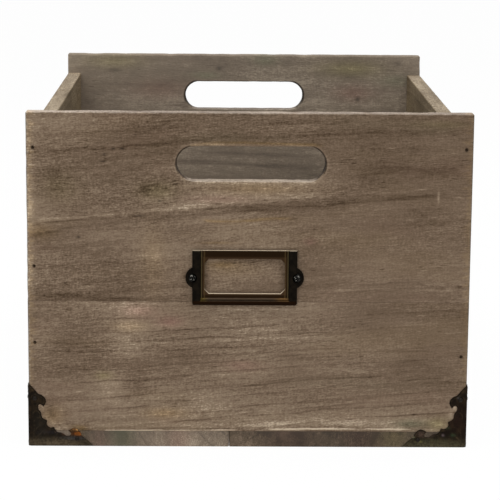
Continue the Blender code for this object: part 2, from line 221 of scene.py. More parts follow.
class Nodes:
    """Adds nodes to a tree, linking the inputs that are sockets and setting the others."""

    def __init__(self, tree):
        self.tree = tree

    def put(self, value, socket):
        if isinstance(value, bpy.types.NodeSocket):
            self.tree.links.new(value, socket)
        else:
            socket.default_value = value

    def add(self, kind, inputs=(), **settings):
        node = self.tree.nodes.new("ShaderNode" + kind)
        for name, value in settings.items():
            setattr(node, name, value)
        for key, value in dict(inputs).items():
            self.put(value, node.inputs[key])
        return node

    def maths(self, operation, *values, clamp=False):
        return self.add("Math", enumerate(values), operation=operation, use_clamp=clamp).outputs[0]

    def joined(self, operation, total, *others):
        for value in others:
            total = self.maths(operation, total, value)
        return total

    def plus(self, *values):
        return self.joined("ADD", *values)

    def times(self, *values):
        return self.joined("MULTIPLY", *values)

    def most(self, *values):
        return self.joined("MAXIMUM", *values)

    def minus(self, first, second):
        return self.maths("SUBTRACT", first, second)

    def size(self, value):
        return self.maths("ABSOLUTE", value)

    def squares(self, *values):
        return self.plus(*[self.maths("POWER", value, 2) for value in values])

    def bell(self, *values):
        """1 where the values are 0, falling away softly round there."""
        return self.maths("POWER", math.e, self.times(self.squares(*values), -1))

    def vector(self, operation, first, second):
        return self.add("VectorMath", {0: first, 1: second}, operation=operation).outputs[0]

    def split(self, point):
        return self.add("SeparateXYZ", {0: point}).outputs

    def noise(self, point, scale, detail=2, roughness=0.5):
        """Noise about 0. The scale, per metre, is one value, one along and one across the grain, or three."""
        scaled = self.vector("MULTIPLY", point, (*scale, *[scale[-1]] * (3 - len(scale))))
        inputs = {"Vector": scaled, "Scale": 1, "Detail": detail, "Roughness": roughness}
        return self.minus(self.add("TexNoise", inputs, noise_dimensions="3D").outputs[0], 0.5)

    def step(self, value, low, high, start=0, end=1):
        """Rises smoothly from start to end as value goes from low to high."""
        inputs = {"Value": value, "From Min": low, "From Max": high, "To Min": start, "To Max": end}
        return self.add("MapRange", inputs, interpolation_type="SMOOTHSTEP").outputs[0]

    def mix(self, share, first, second, blend="MIX"):
        inputs = {0: share, 6: first, 7: second}
        return self.add("Mix", inputs, data_type="RGBA", blend_type=blend).outputs[2]

    def ramp(self, value, stops):
        node = self.add("ValToRGB", {0: value})
        elements = node.color_ramp.elements
        while len(elements) < len(stops):
            elements.new(1)
        for element, (place, colour) in zip(elements, stops):
            element.position = place
            element.color = colour
        return node.outputs[0]


def new_group(name, inputs, outputs):
    """An empty node group with float sockets, and a vector one for Point."""
    tree = bpy.data.node_groups.new(name, "ShaderNodeTree")
    for direction, names in (("INPUT", inputs), ("OUTPUT", outputs)):
        for socket in names:
            kind = "NodeSocketVector" if socket == "Point" else "NodeSocketFloat"
            tree.interface.new_socket(socket, in_out=direction, socket_type=kind)
    source = tree.nodes.new("NodeGroupInput")
    sink = tree.nodes.new("NodeGroupOutput")
    return Nodes(tree), source.outputs, sink.inputs


def grain_group():
    """Growth rings, fibres, pores and blotches of one board."""
    results = ("Tone", "Hue", "Blush", "Relief")
    n, given, result = new_group("wood_grain", ("Point", *grain_names, "Fine"), results)
    seed = given["Seed"]
    shift = n.add("CombineXYZ", {0: seed, 1: seed, 2: seed}).outputs[0]
    shift = n.vector("MULTIPLY", shift, (1.7, 2.3, 3.1))
    seeded = n.vector("ADD", given["Point"], shift)
    parts = n.split(given["Point"])
    bend = n.plus(n.times(n.noise(seeded, (3.5, 9), 1), 0.016), n.times(n.noise(seeded, (24, 60)), 0.0022))
    across = n.minus(n.plus(parts[1], bend), n.times(parts[0], given["Slope"]))
    bent = n.vector("ADD", n.add("CombineXYZ", {0: parts[0], 1: across, 2: parts[2]}).outputs[0], shift)

    # Rings about the board's heart, each with a pale early part and a dark late one
    away = n.squares(n.minus(across, given["Ring centre v"]), n.minus(parts[2], given["Ring centre w"]))
    ring = n.maths("DIVIDE", n.maths("SQRT", away), given["Ring spacing"])
    ring_line = n.add("CombineXYZ", {0: ring, 1: seed}).outputs[0]
    ring = n.plus(ring, n.times(n.noise(ring_line, (0.45, 9, 1), 0), 2.6))
    within = n.maths("FRACT", ring)
    count = n.plus(n.maths("FLOOR", ring), seed)
    late = n.times(n.step(within, 0.62, 0.94), n.step(within, 0.94, 1, 1, 0))
    early = n.times(n.step(within, 0, 0.3, 1, 0), 0.35)
    strength = n.maths("POWER", n.add("TexWhiteNoise", {"W": count}, noise_dimensions="1D").outputs[0], 1.6)
    breaks = n.step(n.noise(bent, (14, 120)), -0.16, 0.14, 0.15)
    rings = n.minus(n.times(early, strength), n.times(late, strength, breaks))
    rings = n.times(rings, given["Ring depth"])

    fine = n.noise(bent, (560, 1500))
    fibre = n.noise(bent, (150, 820), 2, 0.55)
    pale = n.step(n.noise(bent, (90, 640)), 0.10, 0.30, 0, 0.16)
    sawn = n.noise(seeded, (700, 220), 3, 0.7)
    cloud = n.noise(seeded, (10, 26), 3)
    pores = n.plus(n.noise(bent, (150, 1250), 0), n.times(n.noise(bent, (16, 90)), 0.7))
    pores = n.step(pores, 0.26, 0.36)
    # The right end of each board is smoother
    worn = n.step(n.noise(seeded, (12, 30), 1), -0.2, 0.2, 0.7, 1.25)
    worn = n.times(worn, n.step(parts[0], -0.03, 0.11, 1.06, 0.72))
    coarse = n.times(n.noise(bent, (26, 240)), n.step(parts[0], -0.03, 0.11, 1, 0.6))
    detail = n.plus(n.times(fine, 0.55), n.times(fibre, 0.46), n.times(sawn, 0.36))
    tone = n.plus(n.times(detail, given["Fine"], worn), 0.5, n.times(coarse, 0.25))
    tone = n.plus(tone, n.times(cloud, 0.62), pale, rings)
    n.put(n.minus(tone, n.times(pores, 0.22)), result["Tone"])
    n.put(n.noise(seeded, (7, 30), 3), result["Hue"])
    n.put(n.noise(n.vector("MULTIPLY", seeded, (1, -1, 1)), (10, 34), 3), result["Blush"])
    relief = n.plus(n.times(fibre, 0.8), n.times(fine, 0.5), rings)
    n.put(n.minus(relief, n.times(pores, 0.5)), result["Relief"])
    return n.tree


def streak_group():
    """A long mark about a line, fading at both ends. Along is the share of the way along it."""
    n, given, result = new_group("streak", ("v", "Centre", "Along", "Width"), ("Share",))
    away = n.maths("DIVIDE", n.minus(given["v"], given["Centre"]), given["Width"])
    arch = n.times(given["Along"], n.minus(1, given["Along"]))
    n.put(n.times(n.bell(away), n.step(arch, 0, 0.08)), result["Share"])
    return n.tree


def patch_group():
    """A soft oval mark."""
    n, given, result = new_group("patch", ("u", "v", *patch_names), ("Share",))
    across = n.maths("DIVIDE", n.minus(given["u"], given["u0"]), given["Half length"])
    up = n.maths("DIVIDE", n.minus(given["v"], given["v0"]), given["Half height"])
    n.put(n.bell(across, up), result["Share"])
    return n.tree


grain_names = ("Seed", "Slope", "Ring centre v", "Ring centre w", "Ring spacing", "Ring depth")
patch_names = ("u0", "v0", "Half length", "Half height")
groups = {"grain": grain_group(), "streak": streak_group(), "patch": patch_group()}

# What a mark does: some lighten or darken the wood's tone, the others shift its colour
tone_marks = {"dark": -0.16, "light": 0.15, "bare": 0.50}
tints = {
    "black": srgb(24, 16, 8),
    "tan": srgb(164, 132, 88),
    "olive": srgb(126, 118, 70),
    "green": srgb(88, 92, 72),
    "pink": srgb(160, 118, 104),
    "grey": srgb(128, 122, 112),
    "ash": srgb(164, 152, 142),
}
# The wood's colours, from its darkest tone to its palest
wood_ramp = (
    (0.0, srgb(43, 29, 15)),
    (0.25, srgb(77, 61, 45)),
    (0.50, srgb(110, 92, 75)),
    (0.70, srgb(136, 118, 98)),
    (1.0, srgb(196, 178, 154)),
)


def new_material(name):
    """A material, its nodes and the point that they are asked about."""
    material = bpy.data.materials.new(name)
    material.use_nodes = True
    n = Nodes(material.node_tree)
    return material, n, n.add("TexCoord").outputs["Object"]


def set_surface(n, colour, roughness, metallic, specular, height=None, strength=0.0, distance=0.0):
    """Sets a material's colour and gloss, and its bump where a height is given."""
    inputs = n.tree.nodes["Principled BSDF"].inputs
    n.put(colour, inputs["Base Color"])
    n.put(roughness, inputs["Roughness"])
    n.put(metallic, inputs["Metallic"])
    n.put(specular, inputs["Specular IOR Level"])
    if height is not None:
        bump = n.add("Bump", {"Height": height, "Strength": strength, "Distance": distance})
        n.put(bump.outputs[0], inputs["Normal"])


def streak_share(n, parts, width, *points):
    """How much of a long mark, drawn through points in millimetres, lies at each point of a face."""
    us, vs = [u * mm for u in points[::2]], [v * mm for v in points[1::2]]
    low, span = min(vs) - mm, max(vs) - min(vs) + 2 * mm
    along = n.maths("DIVIDE", n.minus(parts[0], us[0]), us[-1] - us[0], clamp=True)
    curve = n.add("FloatCurve", {"Value": along})
    dots = curve.mapping.curves[0].points
    places = [((u - us[0]) / (us[-1] - us[0]), (v - low) / span) for u, v in zip(us, vs)]
    dots[0].location, dots[1].location = places[0], places[-1]
    for place in places[1:-1]:
        dots.new(*place)
    curve.mapping.update()
    centre = n.maths("MULTIPLY_ADD", curve.outputs[0], span, low)
    inputs = {"v": parts[1], "Centre": centre, "Along": along, "Width": width * mm}
    return n.add("Group", inputs, node_tree=groups["streak"]).outputs[0]


def patch_share(n, u, v, *row):
    """How much of a soft oval mark, its place and half sizes in millimetres, lies at each point of a face."""
    inputs = {"u": u, "v": v, **{name: value * mm for name, value in zip(patch_names, row)}}
    return n.add("Group", inputs, node_tree=groups["patch"]).outputs[0]


def mark_shares(n, point, streaks, patches):
    """The tint and share of each streak and patch of a board."""
    wander = n.times(n.noise(point, (16, 70)), 0.0014)
    quiver = n.times(n.noise(point, (110, 800)), 0.0008)
    breaks = n.step(n.noise(point, (42, 420), 3, 0.6), -0.16, 0.10, 0.45, 1.15)
    u, v, _ = n.split(point)
    v = n.plus(v, n.plus(wander, quiver))
    found = []
    for tint, *rows in streaks:
        found += [(tint, n.times(streak_share(n, (u, v), *row), strength, breaks)) for strength, *row in rows]
    for tint, *rows in patches:
        found += [(tint, n.times(patch_share(n, u, v, *row), strength)) for strength, *row in rows]
    return found


def edge_shares(n, parts, low, high, scuff, fibres, edges):
    """The tint and share of the wear, and of some painted shade and highlight, along a board's edges (sides,
    width, strength, tint).
    """
    found = []
    for sides, width, strength, tint in edges:
        gap = 0.0
        for side, sign in zip(sides[::2], sides[1::2]):
            axis = "uvw".index(side)
            away = n.minus((high if sign == "+" else low)[axis], parts[axis])
            gap = n.most(n.times(away, 1 if sign == "+" else -1), gap)
        rough = n.times(fibres, width * 3) if sides[0] == "u" else n.times(scuff, width * 1.6)
        found.append((tint, n.step(n.plus(gap, rough), width, 0, 0, strength)))
    return found


def slot_shares(n, parts, scuff, slot, strength, shade_reach):
    """Wear of a hand slot: pale below, where hands lift, lighter round it, and darker inside and at its ends,
    partly stain and partly painted shade.
    """
    (left, foot), (right, head) = slot
    radius, middle = (head - foot) / 2, (head + foot) / 2
    sideways = n.size(n.minus(parts[0], (left + right) / 2))
    along = n.most(n.minus(sideways, (right - left) / 2 - radius), 0)
    up = n.minus(parts[1], middle)
    away = n.minus(n.maths("SQRT", n.squares(along, up)), radius)
    rough = n.plus(away, n.times(scuff, slot_rim * 1.2))
    below = n.step(up, -radius * 0.80, -radius * 0.99)
    rubbed = n.times(n.step(rough, slot_rim * 0.8, slot_rim * 0.4), below)
    halo = n.step(rough, slot_rim * 4, slot_rim, 0, 0.8 * strength)
    # Painted shade with some stain: dark at the slot's round ends and inside the cut
    round_end = n.times(n.step(along, 0, radius * 0.5), n.step(up, -radius * 0.75, -radius * 0.3))
    reach = slot_rim * 0.6 * shade_reach
    shade = n.times(n.step(away, reach * 2, reach, 0, 0.8), round_end)
    within = n.times(n.step(away, slot_rim, slot_rim * 0.5), n.step(parts[2], -slot_rim, -slot_rim * 2))
    within = n.times(within, n.minus(1, below))
    return [("light", halo), ("bare", n.times(rubbed, 0.4 * strength)), ("ash", n.times(rubbed, 0.4)),
            ("dark", within), ("black", n.times(within, 0.45)), ("black", shade)]


def wood_material(name, look, low, high, slot, streaks, patches):
    """Weathered wood for a board whose box in its face frame runs from low to high."""
    material, n, point = new_material(name)
    inputs = {"Point": point, **dict(zip(grain_names, look["grain"])), "Fine": look.get("fine", 1)}
    out = n.add("Group", inputs, node_tree=groups["grain"]).outputs
    parts = n.split(point)
    scuff = n.noise(point, (160,), 4, 0.65)
    fibres = n.noise(point, (60, 380), 3, 0.6)
    shares = mark_shares(n, point, streaks, patches)
    shares += edge_shares(n, parts, low, high, scuff, fibres, look["edges"])
    if slot:
        shares += slot_shares(n, parts, scuff, slot, look.get("slot_rub", 1), look.get("slot_shade", 1))

    tone = n.plus(out["Tone"], look["lightness"])
    if "blotches" in look:
        tone = n.plus(tone, n.times(n.noise(point, (70, 150, 60), 3, 0.6), look["blotches"]))
    for tint, share in shares:
        if tint in tone_marks:
            tone = n.maths("MULTIPLY_ADD", share, tone_marks[tint], tone)
    colour = n.ramp(tone, wood_ramp)
    colour = n.mix(n.step(out["Hue"], 0.02, 0.22, 0, 0.10), colour, srgb(128, 108, 74))
    colour = n.mix(n.step(out["Blush"], 0.04, 0.24, 0, 0.16), colour, srgb(132, 106, 90))
    colour = n.mix(n.step(out["Hue"], -0.08, -0.24, 0, 0.15), colour, srgb(96, 88, 68))
    colour = n.mix(look.get("greyed", 0), colour, tints["grey"])
    for tint, share in shares:
        if tint in tints:
            colour = n.mix(share, colour, tints[tint], "MIX" if tint == "black" else "COLOR")
    roughness = n.step(out["Tone"], 0.2, 0.8, 0.92, 0.74)
    set_surface(n, colour, roughness, metallic=0, specular=0.18, height=out["Relief"], strength=0.5,
                distance=0.00035)
    return material


def metal_material(name, dark, mid, bright, metallic, roughness, rust=0.0, spots=()):
    """Aged metal: a dark skin, blotches of the metal's own colour and, on high spots, a brighter rub.

    The spots, rust and grime or painted glints and sheen, are a colour, a strength, a place and a size in
    millimetres, seen from the front.
    """
    material, n, point = new_material(name)
    cloud = n.noise(point, (metal_grain * 0.22,), 4, 0.6)
    speck = n.noise(point, (metal_grain,), 3, 0.6)
    rub = n.add("Attribute", attribute_name="relief").outputs["Fac"]
    colour = n.mix(n.step(cloud, -0.05, 0.2), dark, mid)
    patchy = n.step(n.noise(point, (150,)), -0.1, 0.2, 0.1, 0.6)
    colour = n.mix(n.times(n.step(n.plus(rub, speck), 0.45, 1.1), patchy), colour, bright)
    if rust:
        patch = n.noise(point, (metal_grain * 0.12, metal_grain * 0.12, metal_grain * 0.3), 4, 0.7)
        colour = n.mix(n.step(patch, 0.17, 0.3, 0, rust), colour, srgb(120, 66, 24))
    x, _, z = n.split(point)
    z = n.plus(z, n.times(speck, 0.001))
    flecks = n.step(n.noise(point, (metal_grain * 0.9,), 2, 0.6), -0.12, 0.12, 0.45)
    for tint, strength, *row in spots:
        colour = n.mix(n.times(patch_share(n, x, z, *row), strength, flecks), colour, srgb(*tint))
    roughness = n.step(speck, -0.3, 0.3, roughness - 0.12, roughness + 0.12)
    set_surface(n, colour, roughness, metallic, specular=0.15, height=speck, strength=0.25, distance=0.0002)
    return material


def new_object(name, data, place=Matrix()):
    """Adds an object to the scene."""
    made = bpy.data.objects.new(name, data)
    bpy.context.scene.collection.objects.link(made)
    made.matrix_world = place
    return made


def new_piece(name, mesh, place, material, nodes):
    """Adds a mesh as a piece of the box that stands for the named nodes."""
    piece = new_object(name, mesh, place)
    piece.data.materials.append(material)
    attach(piece, "root")
    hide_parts(*nodes)
    return piece


def to_mesh(bm, name):
    """Turns a bmesh into a mesh with outward faces."""
    bmesh.ops.recalc_face_normals(bm, faces=bm.faces)
    mesh = bpy.data.meshes.new(name)
    bm.to_mesh(mesh)
    bm.free()
    return mesh


def smooth(mesh, sharp_angle):
    """Smooth shading, with creases where faces meet at more than an angle in degrees."""
    mesh.shade_smooth()
    mesh.set_sharp_from_angle(angle=math.radians(sharp_angle))
    return mesh


def face_frame(wall):
    """A wall's face frame, with its origin under the middle of the outer face."""
    turn = Matrix.Rotation(math.radians(headings[wall]), 4, "Z")
    outward = turn @ Vector((0, -1, 0))
    reach = max(outward.dot(corner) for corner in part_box(wall + "_upper_board"))
    return turn @ Matrix.Translation((0, -reach, 0)) @ Matrix.Rotation(math.radians(90), 4, "X")


def local_box(node, place):
    """A node's lowest and highest corners in a face frame."""
    corners = [place.inverted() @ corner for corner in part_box(node)]
    return [Vector([pick(c[i] for c in corners) for i in range(3)]) for pick in (min, max)]


def outline(low, high, radii, counts):
    """Points, anticlockwise, round a rectangle with rounded corners, with their normals and ways out.

    A way out is the normal on a straight edge, and the same diagonal for all points of one corner.
    The radii go round from the foot's left corner to the foot's right one, the head's right and its left.
    The counts are the steps round a corner, along the foot or the head, and along an end.
    """
    corners = ((low[0], low[1], 180), (high[0], low[1], 270), (high[0], high[1], 0), (low[0], high[1], 90))
    runs = []
    for (x, y, start), radius in zip(corners, radii):
        centre = Vector((x + (radius if x == low[0] else -radius), y + (radius if y == low[1] else -radius)))
        way = Vector((-1 if x == low[0] else 1, -1 if y == low[1] else 1))
        angles = [math.radians(start + 90 * k / counts[0]) for k in range(counts[0] + 1)]
        normals = [Vector((math.cos(angle), math.sin(angle))) for angle in angles]
        runs.append([(centre + normal * radius, normal, way) for normal in normals])
    found = []
    for k, run in enumerate(runs):
        (last, normal, _), after = run[-1], runs[(k + 1) % 4][0][0]
        steps = counts[1] if k % 2 == 0 else counts[2]
        found += run + [(last.lerp(after, j / steps), normal, normal) for j in range(1, steps)]
    return [list(column) for column in zip(*found)]


def outline_counts(low, high, radius, step):
    """How many steps an outline needs for its points to lie about a step apart."""
    sides = [max(1, round((high[k] - low[k] - 2 * radius) / step)) for k in (0, 1)]
    return max(4, math.ceil(radius * math.pi / 2 / step)), *sides


def wear_shift(point, way, depth, seed):
    """A small uneven move of an outline's point, as knocks and handling leave."""
    place = Vector((point.x / wear_length, point.y / wear_length, seed))
    return way * depth * max(0.0, noise.fractal(place, 1.0, 2.0, 3) + wear_spread)


def side_loops(bm, low, high, corners, rims, seed, step=outline_step, hole=False):
    """The rounded side of a slab: loops of vertices from its outer face to its inner one.

    The corners are radii, and the rims name the rounding at the foot, the head and the two ends.
    A hole's side is rounded the other way, into the wood round it.
    """
    counts = outline_counts(low, high, max(corners), step)
    points, normals, ways = outline(low, high, corners, counts)
    sign = -1 if hole else 1
    rim, shifts = [], []
    for point, normal, way in zip(points, normals, ways):
        edge = rims["head"] if way.y > 0 else rims["foot"]
        rim.append(rims["ends"] * normal.x ** 2 + edge * normal.y ** 2)
        least = min(rims["ends"], edge) if way.x and way.y else rim[-1]
        shifts.append(wear_shift(point, -way * sign, wear_depth * min(1.0, least / worn_rim), seed))
    quarter = [math.radians(90 * k / rim_steps) for k in range(rim_steps + 1)]
    stages = [(1.0, 0.0, flat_margin, True)]
    stages += [(1 - math.sin(a), 1 - math.cos(a), 0.0, True) for a in quarter]
    stages += [(inset, drop, margin, False) for inset, drop, margin, _ in reversed(stages)]
    loops = []
    for inset, drop, margin, outer in stages:
        ends, foot, head = [sign * (inset * rims[side] + margin) for side in ("ends", "foot", "head")]
        shrunk = [max(least_corner, corner - ends) for corner in corners]
        inner_low, inner_high = (low[0] + ends, low[1] + foot), (high[0] - ends, high[1] - head)
        places, _, _ = outline(inner_low, inner_high, shrunk, counts)
        loop = []
        for place, shift, radius in zip(places, shifts, rim):
            w = high[2] - drop * radius if outer else low[2] + drop * radius
            loop.append(bm.verts.new((place.x + shift.x, place.y + shift.y, w)))
        loops.append(loop)
    bridge(bm, *loops)
    return loops


def bridge(bm, *loops):
    """Faces between closed loops of vertices, each to the next."""
    for first, second in zip(loops, loops[1:]):
        for k in range(len(first)):
            j = (k + 1) % len(first)
            bm.faces.new((first[k], first[j], second[j], second[k]))


def inside(points, loop):
    """Which of an array of points lie inside a closed loop."""
    x, y = points[:, 0], points[:, 1]
    found = np.zeros(len(points), bool)
    for (x0, y0), (x1, y1) in zip(loop, np.roll(loop, -1, axis=0)):
        crosses = (y0 > y) != (y1 > y)
        with np.errstate(divide="ignore", invalid="ignore"):
            found ^= crosses & (x < (x1 - x0) * (y - y0) / (y1 - y0) + x0)
    return found


def triangles(points, edges):
    """The triangles between points of a plane, as numbers of points, and the middle of each."""
    places, _, faces, origins, _, _ = delaunay_2d_cdt(points, edges, [], 0, 1e-7)
    middles = np.array([[sum(places[k][i] for k in face) / 3 for i in (0, 1)] for face in faces])
    return [[origins[k][0] for k in face] for face in faces], middles


def fill(bm, outer, holes, w, extra=()):
    """Fills the face inside an outer loop of vertices and outside the holes with triangles."""
    verts, edges = [], []
    for loop in (outer, *holes):
        edges += [(len(verts) + k, len(verts) + (k + 1) % len(loop)) for k in range(len(loop))]
        verts += loop
    verts += [bm.verts.new((x, y, w)) for x, y in extra]
    faces, middles = triangles([v.co.xy for v in verts], edges)
    kept = inside(middles, np.array([v.co.xy for v in outer]))
    for hole in holes:
        kept &= ~inside(middles, np.array([v.co.xy for v in hole]))
    for face, keep in zip(faces, kept):
        corners = [verts[k] for k in face]
        if keep and len(set(corners)) == 3 and not bm.faces.get(corners):
            bm.faces.new(corners)


def grid_points(low, high, step, clear_of):
    """Points of a staggered grid inside a rectangle that keep a step clear of the given circles."""
    found = []
    rows = max(1, int((high[1] - low[1]) / step))
    for row in range(1, rows):
        y = low[1] + (high[1] - low[1]) * row / rows
        x = low[0] + step * (1.0 if row % 2 else 0.5)
        while x < high[0] - step / 2:
            if all((Vector((x, y)) - Vector(c)).length > r + step / 2 for c, r in clear_of):
                found.append((x, y))
            x += step
    return found


def circle(centre, radius, count):
    angles = [2 * math.pi * k / count for k in range(count)]
    return [Vector(centre) + Vector((math.cos(a), math.sin(a))) * radius for a in angles]


def add_brad_hole(bm, centre, w):
    """A small torn hole with a floor. Returns the loop of vertices at the face."""
    rings = []
    for share, depth in brad_hole_profile:
        ring = []
        for k, point in enumerate(circle(centre, brad_hole_radius * share, brad_hole_points)):
            torn = 1 + brad_hole_tear * noise.noise(Vector((k * 0.9, centre[0] * 90, centre[1] * 90)))
            place = Vector(centre) + (point - Vector(centre)) * torn
            ring.append(bm.verts.new((place.x, place.y, w - depth * brad_hole_depth)))
        rings.append(ring)
    bridge(bm, *rings)
    bm.faces.new(rings[-1])
    return rings[0]


def board_mesh(name, low, high, rims, slot, brads, seed):
    """A board with worn rims. The rims name the radius at the foot, the head and the two ends."""
    bm = bmesh.new()
    foot, head = [corner_radius if rims[side] > seam_rim else seam_corner_radius for side in ("foot", "head")]
    loops = side_loops(bm, low, high, (foot, foot, head, head), rims, seed)
    outer_holes, inner_holes, clear_of = [], [], []
    if slot:
        slot_low, slot_high = (*slot[0], low[2]), (*slot[1], high[2])
        slot_rims = dict.fromkeys(rims, slot_rim)
        corners = (slot_height / 2 - least_corner,) * 4
        hole_loops = side_loops(bm, slot_low, slot_high, corners, slot_rims, seed, slot_step, True)
        outer_holes.append(hole_loops[0])
        inner_holes.append(hole_loops[-1])
        x = slot[0][0] + slot_height / 2
        y = (slot[0][1] + slot[1][1]) / 2
        while x <= slot[1][0] - slot_height / 2 + face_grid / 2:
            clear_of.append(((x, y), slot_height / 2 + slot_rim + flat_margin))
            x += face_grid / 2
    outer_holes += [add_brad_hole(bm, brad, high[2]) for brad in brads]
    flat_low = [low[k] + rims["ends"] + flat_margin for k in (0, 1)]
    flat_high = [high[k] - rims["ends"] - flat_margin for k in (0, 1)]
    extra = grid_points(flat_low, flat_high, face_grid, clear_of)
    clear = 2.5 * brad_hole_radius
    outer_extra = [p for p in extra if all((Vector(p) - Vector(brad)).length > clear for brad in brads)]
    fill(bm, loops[0], outer_holes, high[2], outer_extra)
    fill(bm, loops[-1], inner_holes, low[2], extra)
    return smooth(to_mesh(bm, name), 35)


# Marks of the boards, in groups of one tint, in millimetres of the board's face frame.
# A streak is a strength, a half width and the u and v of each of its points.
# A patch is a strength, the u and v of its middle, and a half length and height.
front_upper_streaks = (
    ("dark",
     (0.5, 1, -151, 206.2, -133, 205, -120, 205.7, -107, 207.2, -93, 206.6, -80, 209, -67, 209.4,
      -53, 210.9, -36, 212.7),
     (0.7, 1.1, -47, 211.6, -30, 213.4, -13, 215.2, 0, 214.6, 14, 214.7, 27, 215.7, 40, 215.5, 54, 216.9,
      67, 217),
     (0.5, 1.3, 47, 216.5, 67, 217, 81, 218.4, 94, 219.2, 121, 219.4, 141, 220.8),
     (0.55, 0.9, 17, 224.8, 40, 224.9, 54, 224, 67, 226.1, 80, 225.5, 94, 227.3, 110, 227.4, 130, 228.2),
     (0.6, 1.2, -151, 146.4, -134, 149.2, -120, 152.7, -107, 154.2, -94, 155.6, -80, 157, -67, 158.1,
      -53, 160.6),
     (0.8, 1.3, -67, 158.5, -53, 160.6, -40, 162.1, -26, 162.1, -13, 163.6, 1, 165, 14, 165.1, 28, 166.5),
     (0.3, 0.6, -9, 168.4, 7, 167.1, 28, 167.9, 41, 167.7, 55, 169.1, 68, 170.2),
     (0.45, 3, -23, 165.6, 1, 167.1, 34, 169.3, 54, 170.8, 75, 173, 98, 175.1, 122, 175.3, 142, 178.1),
     (0.5, 0.9, 21, 167.9, 41, 168, 58, 170.1, 71, 171.2, 85, 171.7, 102, 173.5, 115, 173.2),
     (0.35, 0.8, -80, 177.5, -60, 178.3, -40, 179.8, -23, 179.9, 1, 178.7, 17, 181.5),
     (0.45, 2, 71, 188.6, 84, 190, 101, 194.2, 121, 192.3, 143, 191.8),
     (0.6, 0.8, 72, 113.8, 89, 114.6, 110, 116.1, 123, 113.4, 145, 113.5),
     (0.5, 2.6, -157, 103.9, -87, 103.9, 1, 103.7, 153, 104.5),
     (0.4, 1.8, -148, 104.3, -121, 104.1, -101, 104.2, -77, 104),
     (0.5, 1.5, 91, 173.1, 102, 174.1, 115, 175.2, 128, 176.3),
     (1, 0.5, -141, 156.4, -133, 156.4, -126, 157.1, -117, 157.9, -111, 158.2)),
    ("light",
     (0.9, 2.6, -50, 166.8, -26, 169.3, -13, 170.8, 1, 171.9, 14, 173.3, 34, 174.1, 54, 175.6),
     (0.45, 0.9, 48, 175.5, 68, 176.3, 81, 177.8, 95, 177.5, 108, 178.6, 122, 182.1),
     (0.55, 0.7, -33, 158.7, -16, 157.1, 1, 158.2, 14, 159.3, 31, 159),
     (0.9, 0.8, 49, 110.2, 69, 110.3, 89, 110.8, 110, 110.5, 130, 110.6, 142, 110),
     (1.2, 1.6, -145, 158, -134, 158.8, -120, 159.6, -107, 161, -90, 162.1),
     (0.85, 1.4, -102, 161, -80, 163.2, -67, 164.6, -53, 166.1, -38, 166.9),
     (0.5, 0.7, -148, 158.4, -137, 158.4, -127, 159.5, -117, 159.9, -104, 160.7),
     # Painted highlight: these two streaks along the slot's upper rim
     (1.5, 0.9, -42, 208.2, -37, 209.6, -30, 210, -24, 210, -16, 209.8),
     (0.7, 1, 23, 210, 30, 209.7, 36, 209.1, 43, 208.1)),
    ("tan",
     (0.7, 1.2, -43, 208.2, -26, 210.4, -13, 210.8, 14, 210.6, 30, 210.4, 51, 208.8),
     (0.6, 1.2, -33, 158.7, -16, 157.1, 1, 158.2, 14, 159.3, 31, 159)),
)
